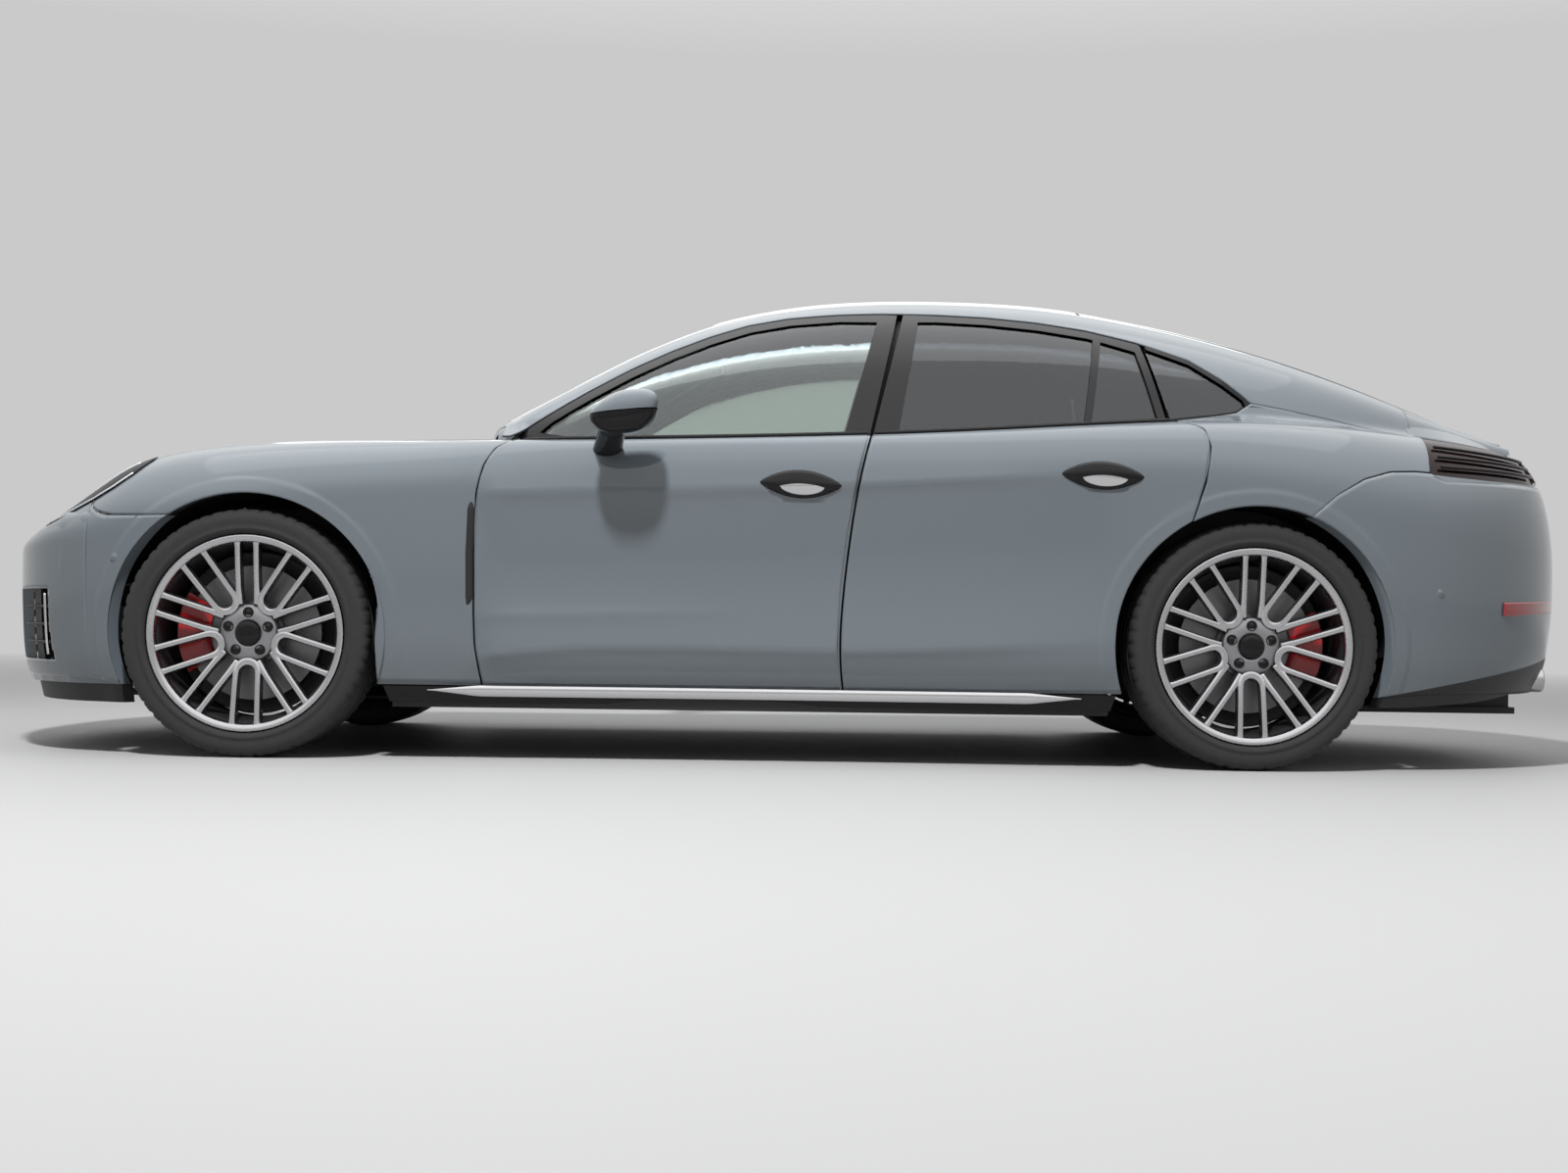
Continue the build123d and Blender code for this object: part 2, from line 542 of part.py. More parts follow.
rx = [-1480, -1554, -1628, -1702, -1776]
rt = list(np.linspace(0, 1, 15))
r_low = [186] * 5 + list(spline([0, 0.25, 0.5, 0.75, 1.0], [190, 214, 262, 306, 320])(rt))
r_top = [float(np.interp(-x, [-p[0] for p in SPLIT], [p[1] for p in SPLIT])) - 1.5 for x in rx]
r_top = r_top + [863, 857, 853] + [851.5] * 12
tail = slab(*wrap_grid(rx, rt, r_low, r_top, 12, False), (24, -24, 0), tol=1.6)
tail = both(tail)
keep("rear_bumper", tail)
lt = [0.0, 0.06, 0.12, 0.18, 0.25, 0.33, 0.41, 0.5]
l_low = [866, 860, 856, 853.5, 852.8, 852.8, 852.8, 852.8]
l_top = [float(TAIL_Z(t)) - 7 for t in lt]
lamp_r = slab(*wrap_grid([], lt, l_low, l_top, 7, False), (22, -18, 0), (6, -6, 0))
lamp_r = lamp_r & box(-2500, -1853, 562, 1000, 800, 1050)
keep("tail_lamps", lamp_r, flip(lamp_r))
diff = box(-2300, -1780, -372, 372, 150, 170)
for y in (-340, -115, 115, 340):
    diff = diff + box(-2290, -1900, y - 6, y + 6, 165, 235)
for y in (-300, 300):
    diff = diff + box(-2262, -2240, y - 20, y + 20, 165, 300 - SEAT)
keep("diffuser", diff)
pair = box(-2180, -2150, 415, 445, 230, 380 - SEAT) + box(-2180, -2150, 425, 525, 190, 210)
for y in (425, 525):
    pair = pair + Solid.make_cylinder(42, 260, Plane((-2385, y, 200), z_dir=(1, 0, 0)))
for y in (425, 525):
    pair = pair - Solid.make_cylinder(38, 200, Plane((-2386, y, 200), z_dir=(1, 0, 0)))
pipes = mirrored(pair)
keep("exhaust_tips", *pipes)


# roof, windscreen, bonnet and tailgate
def hood_rear(y):
    return 1035 - 150 * (np.abs(y) / 760)**2


def crest_at(x):
    """Crest line over the whole front: half width and height at a station."""
    t = np.linspace(0, 1, 200)
    xs = np.concatenate([np.linspace(700, 2039, 300), NOSE_X(t)])
    ys = np.concatenate([CREST_Y(np.linspace(700, 2039, 300)), NOSE_Y(t)])
    zs = np.concatenate([CREST_Z(np.linspace(700, 2039, 300)), NOSE_Z(t)])
    return np.interp(x, xs, ys), np.interp(x, xs, zs)


def hood_z(x, y):
    yc, zc = crest_at(x)
    v = np.clip(np.abs(y) / np.maximum(yc, 1), 0, 1)
    return zc + (HOOD_Z(x) - zc) * (1 - v**2)


def nose_line(v):
    """Front edge of the bonnet over the width, a little behind the nose crest."""
    t = np.linspace(1, 0.3, 80)
    return np.interp(np.abs(v) * 540, NOSE_Y(t), NOSE_X(t)) - 8


def bonnet_half(x):
    return crest_at(x)[0] - SKIN - 6


def bonnet_grid(nx, ny):
    """Rows across the bonnet: each row runs between its own left and right edge."""
    v = np.sin(np.linspace(-1, 1, ny) * np.pi / 2)[None, :]
    u = np.linspace(0, 1, nx)[:, None]
    y_rear = 800 * v
    y_front = 525 * v
    x_rear = hood_rear(y_rear)
    x_front = nose_line(v)
    x = x_rear + (x_front - x_rear) * u
    edge = crest_at(x)[0] - SKIN - 6
    y = v * edge
    return x, y, hood_z(x, y)


bx, by, bz = bonnet_grid(26, 21)
keep("bonnet", slab(bx, by, bz, (0, 0, -30)))
roof = top_slab(const(247.0), const(-872.0), lambda x: rail_y(x) - PILLAR - 0.3, 34, roof_z)
keep("roof_panel", roof)


def screen_low(v):
    return hood_rear(np.abs(v) * 690) - 40


screen = top_slab(screen_low, const(250.0), lambda x: rail_y(x) - PILLAR - 0.3, 16, roof_z, shift=6)
keep("windscreen", screen)


def tail_edge(v):
    t = np.linspace(1, 0.2, 80)
    return np.interp(np.abs(v) * 556, TAIL_Y(t), TAIL_X(t)) + 14


def gate_half(x):
    return np.minimum(rail_y(x) - PILLAR - 6, 553)


def plan_prism(points, z0, z1):
    pts = [(float(a), float(b), z0) for a, b in points]
    edges = [Line(pts[i], pts[(i + 1) % len(pts)]) for i in range(len(pts))]
    return Solid.extrude(Face(Wire(edges)), Vector(0, 0, z1 - z0))


gate = top_slab(const(-882.0), tail_edge, gate_half, 40, roof_z, nx=30)
light_xs = np.linspace(-945, -1830, 12)
glass_out = [(x, float(gate_half(x)) - 46) for x in light_xs] + [(x, 46 - float(gate_half(x))) for x in light_xs[::-1]]
gate = gate - plan_prism(glass_out, 800, 1600)
rear_glass = top_slab(const(-930.0), const(-1850.0), lambda x: gate_half(x) - 30, 16, roof_z, nx=24, shift=6)
rear_glass = rear_glass & plan_prism([(x - 0.3 * np.sign(x + 1400), y - 0.3 * np.sign(y)) for x, y in glass_out], 800, 1600)
ts = np.concatenate([np.linspace(0.44, 1.0, 9), np.linspace(1.0, 0.44, 9)[1:]])
sg = np.concatenate([np.ones(9), -np.ones(8)])
zz = np.linspace(858, 944, 6)[None, :]
gx, gy, gz = wrap(ts[:, None] + 0 * zz, zz + 0 * ts[:, None], False)
apron = slab(gx, gy * sg[:, None], gz, (46, 0, 0), (14, 0, 0))
apron = apron & box(-2600, -1900, -556, 556, 800, 1000)
gate = gate + apron
keep("tailgate", gate)
keep("tailgate_glass", rear_glass)
zz = np.linspace(868, 930, 5)[None, :]
gx, gy, gz = wrap(ts[:, None] + 0 * zz, zz + 0 * ts[:, None], False)
strip = slab(gx, gy * sg[:, None], gz, (10.2, 0, 0), (1.8, 0, 0))
strip = strip & box(-2600, -1900, -550, 550, 800, 1000)
keep("tail_light_bar", strip)


# body shell: floor, sills, bulkheads, wheel houses, boot and the beams behind the bumpers
def arch_shell(xa, y0, y1, r, thick, a0, a1):
    out = arch_arc(xa, a0, a1, r + thick, 25)
    inn = arch_arc(xa, a1, a0, r, 25)
    return prism(out + inn, y0, y1, 0.0, [0, 24, 25, 49])


shell = box(-945, 1112, -775, 775, 150, 175)
more = [box(-900, 1105, -130, 130, 170, 330), box(1100, 1120, -740, 740, 150, 905),
        box(-965, -945, -560, 560, 150, 560), box(-2240, -950, -540, 540, 545, 560),
        box(-2262, -2240, -545, 545, 300, 838), box(2262, 2294, -490, 490, 390, 500),
        box(1110, 2200, -360, 360, 150, 158)]
for part in mirrored(box(-925, 1150, 770, 878, 150, SILL_TOP)):
    more.append(part)
for part in mirrored(box(1115, 2280, 360, 470, 330, 430)):
    more.append(part)
for part in mirrored(box(1180, 1950, 462, 472, 425, 740)):
    more.append(part)
for part in mirrored(arch_shell(FRONT_AXLE, 466, 884, ARCH_R + 6, 6, 20, 160)):
    more.append(part)
for part in mirrored(box(-2255, -950, 400, 480, 380, 548)):
    more.append(part)
for part in mirrored(box(-2238, -960, 536, 548, 440, 850)):
    more.append(part)
for part in mirrored(arch_shell(REAR_AXLE, 545, 905, ARCH_R + 6, 6, -4, 184)):
    more.append(part)
vx = np.linspace(1000, 1112, 6)[:, None]
vy = np.linspace(-700, 700, 15)[None, :]
cowl = slab(vx + 0 * vy, vy + 0 * vx, hood_z(vx + 0 * vy, vy + 0 * vx) - 46, (0, 0, -22))
more.append(cowl)
for s_ in more:
    shell = shell + s_
keep("body_shell", shell)
skirt = side_slab(1180, -950, 166, SILL_TOP - 1, 40, fun=side_y, nx=24, nz=5, gather=1.0)
skirt = skirt & prism([(1150, 160), (1175, SILL_TOP + 8), (-945, SILL_TOP + 8), (-925, 160)], 0, REACH)
skirt = skirt & box(-1000, 1300, 878.3, 1100, 150, 230)
keep("side_skirts", *mirrored(skirt))
engine = box(1160, 1780, -240, 240, 250, 700)
for part in mirrored(box(1400, 1500, 235, 360 - SEAT, 350, 390)):
    engine = engine + part
keep("engine_block", engine)


# wheels and brakes, built about the Y axis with the outer side at +y
def turned(points):
    """Solid of revolution about Y from an outline of radius and y."""
    pts = [(float(r), float(y), 0.0) for r, y in points]
    edges = [Line(pts[i], pts[(i + 1) % len(pts)]) for i in range(len(pts))]
    return Solid.revolve(Face(Wire(edges)), 360, Axis.Y)


def wheel_rim():
    barrel = turned([(284, 120), (276, 121), (263, 112), (254, 104), (250, 60), (246, -110), (268, -121), (276, -121),
                     (276, -113), (254, -100), (258, 60), (262, 95), (284, 112)])
    dish = turned([(0, 44), (90, 48), (180, 74), (256, 84), (256, 108), (200, 104), (120, 90), (70, 80), (0, 78)])
    hub = turned([(0, 40.0), (78, 40.0), (78, 82), (34, 82), (32, 87), (0, 87)])
    bars = None
    for k in range(10):
        for off in (-15.5, 15.5):
            b = box(off - 6.5, off + 6.5, 30, 125, 45, 257).rotate(Axis.Y, 36 * k + 18)
            bars = b if bars is None else bars + b
    spokes = bars & dish
    out = barrel + spokes + hub
    for k in range(5):
        a = np.radians(72 * k + 90)
        out = out - tube_y(58 * np.cos(a), 58 * np.sin(a), 12, 62, 120)
    return out


def wheel_tyre():
    return turned([(284.5, 112.4), (286, 122), (318, 132.5), (345, 124), (358, 100), (358, -100), (345, -124),
                   (318, -132.5), (284, -124), (276.4, -113), (310, -112), (338, -96), (338, 96), (310, 114)])


def brake_disc():
    return turned([(45, 39.7), (92, 39.7), (92, 12), (196, 12), (196, -20), (88, -20), (80, -8), (80, 30), (45, 30)])


def caliper(a0, a1, rear):
    r1 = 219
    ring_ = turned([(128, 19), (150, 30), (r1, 30), (r1, -40), (120, -40), (120, -27), (202, -27), (202, 19)])
    pts = [(0, 0)] + [(400 * np.cos(np.radians(a)), 400 * np.sin(np.radians(a))) for a in np.linspace(a0, a1, 5)]
    return ring_ & prism(pts, -200, 200)


rim = wheel_rim()
tyre = wheel_tyre()
disc = brake_disc()
for tag, xa in (("f", FRONT_AXLE), ("r", REAR_AXLE)):
    at = Location((xa, WHEEL_Y, TYRE_R))
    for name, piece in (("rim", rim), ("tyre", tyre), ("brake_disc", disc)):
        left = piece.moved(at)
        keep(f"{name}_{tag}l", left)
        keep(f"{name}_{tag}r", flip(left))

# knuckles with the front calipers' arms, fixed hub carriers at the rear
spindle = tube_y(0, 0, 62, -60, -26) + tube_y(0, 0, 45 - SEAT, -60, 38)
upright = box(-42, 42, -150, -45, -150, 160) + spindle
upright = upright + (box(-30, 30, -220, -140, -150, -110) & Solid.make_cylinder(215, 60, Plane((0, 0, -160))))
upright = upright + box(20, 190, -75, -40.3, -30, 30)
at_f = Location((FRONT_AXLE, WHEEL_Y, TYRE_R))
at_r = Location((REAR_AXLE, WHEEL_Y, TYRE_R))
knuckle = upright.moved(at_f)
keep("knuckle_l", knuckle)
keep("knuckle_r", flip(knuckle))
cal_f = caliper(-32, 32, False).moved(at_f)
keep("caliper_fl", cal_f)
keep("caliper_fr", flip(cal_f))
cal_r = caliper(152, 208, True).moved(at_r)
keep("rear_calipers", cal_r, flip(cal_r))
carrier = box(-42, 42, -150, -45, -150, 160) + spindle + box(-190, -20, -75, -40.3, -30, 30)
carrier = carrier.moved(at_r)
axle = carrier + bar((REAR_AXLE, 690, TYRE_R), (REAR_AXLE, 100, TYRE_R), 22)
axle = axle + bar((REAR_AXLE + 40, 700, 250), (REAR_AXLE + 60, 300, 240), 20)
strut = bar((REAR_AXLE - 20, 660, 300), (REAR_AXLE - 20, 510, 300), 18)
strut = strut + bar((REAR_AXLE - 20, 516, 290), (REAR_AXLE - 20, 516, 400), 34)
axle = axle + strut
rear = axle + flip(axle) + box(REAR_AXLE - 170, REAR_AXLE + 170, -130, 130, 250, 450) + box(REAR_AXLE + 30, REAR_AXLE + 90, -310, 310, 215, 265)
rear = rear + box(REAR_AXLE - 60, REAR_AXLE + 60, -60, 60, 440, 544.7)
keep("rear_suspension", rear)
arm = bar((FRONT_AXLE, 380, 250), (FRONT_AXLE, 590, 228), 20) + bar((FRONT_AXLE - 180, 390, 260), (FRONT_AXLE, 590, 228), 16)
arm = arm + bar((FRONT_AXLE, 410, 250), (FRONT_AXLE, 410, 329.7), 30)
arm = arm + bar((FRONT_AXLE, 585, 228), (FRONT_AXLE, 625, 228), 20)
arm = arm - Solid.make_cylinder(215 + SEAT, 200, Plane((FRONT_AXLE, WHEEL_Y, 150)))
arms = mirrored(arm)
keep("front_suspension", *arms)

# cabin: seats, dashboard, steering wheel
def seat_front(y):
    base = prism([(-90, 300), (430, 330), (440, 420), (420, 455), (-60, 420), (-110, 380)], y - 234, y + 240)
    rest = prism([(-150, 335), (-40, 400), (-190, 900), (-260, 980), (-310, 970), (-300, 880)], y - 232, y + 232)
    head = prism([(-262, 985), (-215, 1000), (-250, 1140), (-320, 1140), (-335, 1000)], y - 125, y + 125)
    neck = box(-285, -268, y - 40, y - 28, 960, 1010) + box(-285, -268, y + 28, y + 40, 960, 1010)
    foot = box(-40, 60, y - 180, y - 150, 175.3, 330) + box(-40, 60, y + 150, y + 180, 175.3, 330)
    foot = foot + box(280, 360, y - 180, y - 150, 175.3, 345) + box(280, 360, y + 150, y + 180, 175.3, 345)
    return base + rest + head + neck + foot


keep("front_seats", *mirrored(seat_front(370)))


def seat_rear(y):
    base = prism([(-800, 330), (-390, 350), (-380, 430), (-400, 460), (-800, 420)], y - 240, y + 240)
    rest = prism([(-860, 330), (-760, 400), (-850, 850), (-900, 930), (-944.7, 920), (-944.7, 400)], y - 215, y + 198)
    head = prism([(-895, 920), (-860, 935), (-890, 1060), (-950, 1060), (-960, 930)], y - 115, y + 115)
    foot = box(-790, -420, y - 200, y + 200, 175.3, 340)
    return base + rest + head + foot


keep("rear_seats", *mirrored(seat_rear(340)))
dash = prism([(1099.7, 560), (1099.7, 815), (990, 852), (960, 884), (780, 890), (700, 850), (690, 745), (770, 650), (920, 560)], -720, 720)
dash = dash + box(-180, 905, -125, 125, 330.3, 420) + box(640, 905, -120, 120, 400, 700)
keep("dashboard", dash)
hoop = Solid.make_torus(182, 15).rotate(Axis.Y, 66)
spoke_w = Solid.make_box(14, 350, 30).moved(Location((-7, -175, -15)))
spoke_w = spoke_w + Solid.make_cylinder(56, 34, Plane((0, 0, 0), z_dir=(1, 0, 0)))
spoke_w = spoke_w.rotate(Axis.Y, -24)
column = bar((0, 0, 0), (150, 0, -60), 26)
wheel = (hoop + spoke_w + column).moved(Location((555, 370, 860)))
wheel = wheel - dash
keep("steering_wheel", [b for b in wheel.solids()][0] if len(wheel.solids()) == 1 else max(wheel.solids(), key=lambda b: b.volume))

# door mirrors
head = prism([(384, 985), (392, 1030), (420, 1050), (500, 1052), (550, 1034), (574, 1000), (570, 962), (540, 944),
              (430, 940), (395, 954)], 952, 1128)
foot_y = float(np.max(side_y(np.linspace(480, 585, 8)[:, None], np.linspace(880, 925, 6)[None, :]))) + SEAT
mirror_ = head + box(490, 572, foot_y, 1004, 880, 962)
keep("mirror_l", mirror_)
keep("mirror_r", flip(mirror_))
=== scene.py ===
# %% [markdown]
# Sports sedan, dressed for the studio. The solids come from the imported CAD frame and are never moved. This
# lesson lays smooth painted skins, glass, wheels, lamps and a cabin over them. Every new piece is a surface
# worked out with numpy, in millimetres, in the frame of the solids: +X to the nose, +Y to the left, +Z up.

# %% Load the frame
import math

import bpy
import numpy as np
from mathutils import Euler, Matrix, Vector


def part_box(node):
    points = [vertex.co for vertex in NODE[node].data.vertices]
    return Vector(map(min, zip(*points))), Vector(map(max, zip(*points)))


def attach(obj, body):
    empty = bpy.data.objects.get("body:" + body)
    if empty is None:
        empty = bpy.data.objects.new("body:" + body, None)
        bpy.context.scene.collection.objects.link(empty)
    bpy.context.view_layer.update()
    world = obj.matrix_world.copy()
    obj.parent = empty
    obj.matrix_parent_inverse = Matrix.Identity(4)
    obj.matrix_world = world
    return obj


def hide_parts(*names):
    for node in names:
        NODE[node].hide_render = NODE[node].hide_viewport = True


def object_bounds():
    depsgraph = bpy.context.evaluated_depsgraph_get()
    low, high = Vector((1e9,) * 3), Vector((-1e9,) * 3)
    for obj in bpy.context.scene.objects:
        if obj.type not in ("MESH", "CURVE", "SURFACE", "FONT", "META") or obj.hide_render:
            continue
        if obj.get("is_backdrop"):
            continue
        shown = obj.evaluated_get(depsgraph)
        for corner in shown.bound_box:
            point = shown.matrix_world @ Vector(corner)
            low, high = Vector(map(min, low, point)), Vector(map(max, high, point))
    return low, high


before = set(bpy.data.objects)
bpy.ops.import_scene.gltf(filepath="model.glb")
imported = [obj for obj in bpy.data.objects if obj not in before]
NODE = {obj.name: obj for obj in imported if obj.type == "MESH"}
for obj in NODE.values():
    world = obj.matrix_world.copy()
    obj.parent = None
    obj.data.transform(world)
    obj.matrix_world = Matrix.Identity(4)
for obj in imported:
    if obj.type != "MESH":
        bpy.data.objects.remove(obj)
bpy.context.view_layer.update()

# %% [markdown]
# A car body is drawn with a few long curves: the crest along the shoulder, the widest line, the base of the
# glasshouse and the roof. Each is a natural cubic spline through a handful of stations. The skins below are
# read from the same curves as the solids and, creases apart, stand a millimetre or two off them.

# %% Driving dimensions and long curves
FRONT_OVERHANG = 885.0
WHEELBASE = 2900.0
LENGTH = 4900.0
REAR_OVERHANG = LENGTH - FRONT_OVERHANG - WHEELBASE
FRONT_AXLE = LENGTH / 2 - FRONT_OVERHANG
REAR_AXLE = FRONT_AXLE - WHEELBASE
FRONT_HALF = 958.0
WAIST_HALF = 924.0
HAUNCH_HALF = 970.0
TYRE_R = 358.0
WHEEL_Y = 822.5
ARCH_R = 402.0
SILL_Z = 222.0
NOSE_START = 2040.0
TAIL_START = -1850.0
PLAN_LONG = 3.2
PLAN_WIDE = 2.2
SECTION_POWER = 2.2
GLASS_LEAN = 0.34
LIFT = 1.3
METRE = 0.001


def spline(xs, ys):
    """Natural cubic spline through the points: second slopes from a three-band system, held flat outside."""
    order = np.argsort(xs)
    x = np.array(xs, float)[order]
    y = np.array(ys, float)[order]
    h = np.diff(x)
    n = len(x)
    band = np.eye(n)
    inner = np.arange(1, n - 1)
    band[inner, inner - 1] = h[:-1]
    band[inner, inner] = 2 * (h[:-1] + h[1:])
    band[inner, inner + 1] = h[1:]
    right = np.zeros(n)
    right[1:-1] = 6 * (np.diff(y[1:]) / h[1:] - np.diff(y[:-1]) / h[:-1])
    m = np.linalg.solve(band, right)

    def value(q):
        """Height of the curve at q."""
        q = np.clip(np.asarray(q, float), x[0], x[-1])
        i = np.clip(np.searchsorted(x, q) - 1, 0, n - 2)
        u = (x[i + 1] - q) / h[i]
        v = 1 - u
        bend = (u**3 - u) * m[i] + (v**3 - v) * m[i + 1]
        return u * y[i] + v * y[i + 1] + bend * h[i]**2 / 6
    return value


WIDEST_Z = spline([2040, 1950, 1565, 900, 0, -834, -1335, -1850],
                  [620, 640, 715, 767, 805, 835, 800, 690])
CREST_Z = spline([2040, 1950, 1841, 1700, 1547, 1342, 1101, 902, 590, 304, 17, -270, -557, -844, -1000,
                  -1131, -1335, -1600, -1850],
                 [790, 845, 883, 906, 920, 928, 930, 930, 932, 939, 948, 959, 974, 993, 1003,
                  1011, 1016, 1008, 990])
CREST_Y = spline([2040, 1950, 1841, 1700, 1547, 1342, 1101, 902, 750, 600, 300, -300, -600, -900, -1131,
                  -1335, -1600, -1850],
                 [690, 715, 732, 742, 752, 772, 803, 838, 858, 868, 873, 874, 872, 862, 845,
                  822, 775, 705])
BASE_Y = spline([1075, 1000, 917, 813, 700, 600, 300, -300, -600, -900, -1131, -1335, -1600, -1850,
                 -2050, -2200, -2310],
                [380, 560, 690, 780, 832, 852, 858, 860, 857, 846, 826, 800, 752, 682,
                 618, 566, 520])
BASE_Z = spline([1075, 900, 600, 304, 17, -270, -557, -844, -1131, -1335, -1600, -1850, -2100, -2310],
                [905, 912, 918, 925, 934, 945, 960, 979, 996, 1001, 993, 975, 955, 942])
TOP_Z = spline([1075, 932, 826, 702, 577, 453, 328, 204, 79, -46, -170, -295, -419, -596, -749, -902,
                -1056, -1209, -1362, -1515, -1668, -1822, -1975, -2120, -2220, -2310],
               [925, 992, 1052, 1126, 1200, 1268, 1323, 1366, 1396, 1417, 1429, 1435, 1436, 1432,
                1422, 1402, 1373, 1339, 1298, 1251, 1198, 1139, 1076, 1022, 991, 972])
RAIL_H = spline([1000, 826, 702, 577, 453, 328, 204, -46, -419, -749, -900, -1056, -1209, -1362, -1515,
                 -1668, -1822, -1975, -2310],
                [0.45, 0.60, 0.69, 0.755, 0.82, 0.87, 0.90, 0.90, 0.895, 0.88, 0.865, 0.85, 0.83, 0.80,
                 0.76, 0.71, 0.65, 0.57, 0.45])
HOOD_Z = spline([2335, 2300, 2200, 2100, 2000, 1900, 1800, 1600, 1400, 1200, 1035, 850],
                [652, 674, 722, 766, 803, 834, 860, 902, 934, 960, 976, 984])
DOOR_INSET = spline([0, 0.08, 0.3, 0.5, 0.68, 0.8, 0.9, 1.0, 1.2], [0, 3, 13, 16, 9, 5, 12, 34, 60])
WING_INSET = spline([0, 0.3, 0.6, 0.85, 1.0, 1.2], [0, 1, 7, 19, 36, 62])
STEPS = [0, 0.1, 0.2, 0.3, 0.4, 0.5, 0.6, 0.7, 0.8, 0.9, 1.0]
NOSE_X = spline(STEPS, [2040, 2098, 2155, 2205, 2245, 2275, 2300, 2316, 2327, 2333, 2335])
NOSE_Y = spline(STEPS, [690, 655, 612, 560, 497, 425, 345, 262, 175, 88, 0])
NOSE_Z = spline(STEPS, [790, 749, 712, 686, 671, 664, 659, 656, 654, 653, 652])
TAIL_X = spline(STEPS[::2], [-1850, -2010, -2140, -2235, -2290, -2310])
TAIL_Y = spline(STEPS[::2], [705, 672, 590, 440, 230, 0])
TAIL_Z = spline(STEPS[::2], [990, 972, 960, 954, 951, 950])
print("crest from", float(CREST_Z(2040)), "to", float(CREST_Z(-1850)), "mm high")

# %% [markdown]
# The body surface gives a half width for every point of the side view. Lower body and glasshouse are two
# formulas joined by a smooth maximum. Nose and tail are wrapped round a super-ellipse in plan, because a
# formula of the side view can't turn a corner.


# %% Body surface
def half_width(x):
    """Widest half width: cosine blends from the waist to both axles, then super-ellipse nose and tail."""
    front = np.clip((x - FRONT_AXLE) / FRONT_OVERHANG, 0, 1)
    rear = np.clip((REAR_AXLE - x) / REAR_OVERHANG, 0, 1)
    nose = FRONT_HALF * (1 - front**PLAN_LONG)**(1 / PLAN_WIDE)
    tail = HAUNCH_HALF * (1 - rear**PLAN_LONG)**(1 / PLAN_WIDE)
    ahead = np.clip((x - 200) / (FRONT_AXLE - 200), 0, 1)
    behind = np.clip((200 - x) / (200 - REAR_AXLE), 0, 1)
    mid = WAIST_HALF + (FRONT_HALF - WAIST_HALF) * (1 - np.cos(np.pi * ahead)) / 2
    mid = mid + (HAUNCH_HALF - WAIST_HALF) * (1 - np.cos(np.pi * behind)) / 2
    return np.where(x > FRONT_AXLE, nose, np.where(x < REAR_AXLE, tail, mid))


def side_y(x, z):
    """Lower body: a quarter super-ellipse from the widest line up to the crest, an inset profile below it."""
    w = half_width(x)
    zm = WIDEST_Z(x)
    zc = CREST_Z(x)
    yc = CREST_Y(x)
    u = np.clip((z - zm) / (zc - zm), 0, 1)
    bulge = np.sqrt(np.clip(1 - u**SECTION_POWER, 0, 1))
    upper = yc + (w - yc) * bulge - np.clip(z - zc, 0, None) * 2.0
    q = np.clip((zm - z) / (zm - SILL_Z), 0, 1.2)
    doors = np.clip((1000 - x) / 250, 0, 1) * np.clip((x + 1150) / 350, 0, 1)
    doors = doors * doors * (3 - 2 * doors)
    lower = w - doors * DOOR_INSET(q) - (1 - doors) * WING_INSET(q)
    return np.where(z > zm, upper, lower)


def canopy_y(x, z):
    """Glasshouse: a wall that leans in and rounds over into the roof by a fourth-power curve. Below its base
    it falls away, so that the lower body is the outer surface there."""
    zb = BASE_Z(x)
    h = np.clip((z - zb) / (TOP_Z(x) - zb), 0, 1)
    wall = BASE_Y(x) - GLASS_LEAN * np.clip(z - zb, 0, None) - 1.2 * np.clip(zb - z, 0, None)
    return wall * np.clip(1 - h**4, 0, 1)**0.25


def body_y(x, z):
    """Smooth maximum of the lower body and the glasshouse."""
    a = side_y(x, z)
    b = canopy_y(x, z)
    return (a + b + np.sqrt((a - b)**2 + 14.0**2)) / 2


def roof_z(x, y):
    """Glasshouse height over a plan point: each section is tabulated over 300 heights and read backwards."""
    x, y = np.broadcast_arrays(np.asarray(x, float), np.abs(np.asarray(y, float)))
    h = 1 - np.linspace(1, 0, 300)**2
    zb = BASE_Z(x)[..., None]
    zs = zb + h * (TOP_Z(x)[..., None] - zb)
    ys = (BASE_Y(x)[..., None] - GLASS_LEAN * (zs - zb)) * (1 - h**4)**0.25
    i = np.clip((ys > y[..., None]).sum(-1), 1, 299)[..., None]
    ya = np.take_along_axis(ys, i - 1, -1)[..., 0]
    yb = np.take_along_axis(ys, i, -1)[..., 0]
    za = np.take_along_axis(zs, i - 1, -1)[..., 0]
    zc = np.take_along_axis(zs, i, -1)[..., 0]
    return za + (zc - za) * np.clip((ya - y) / np.maximum(ya - yb, 1e-9), 0, 1)


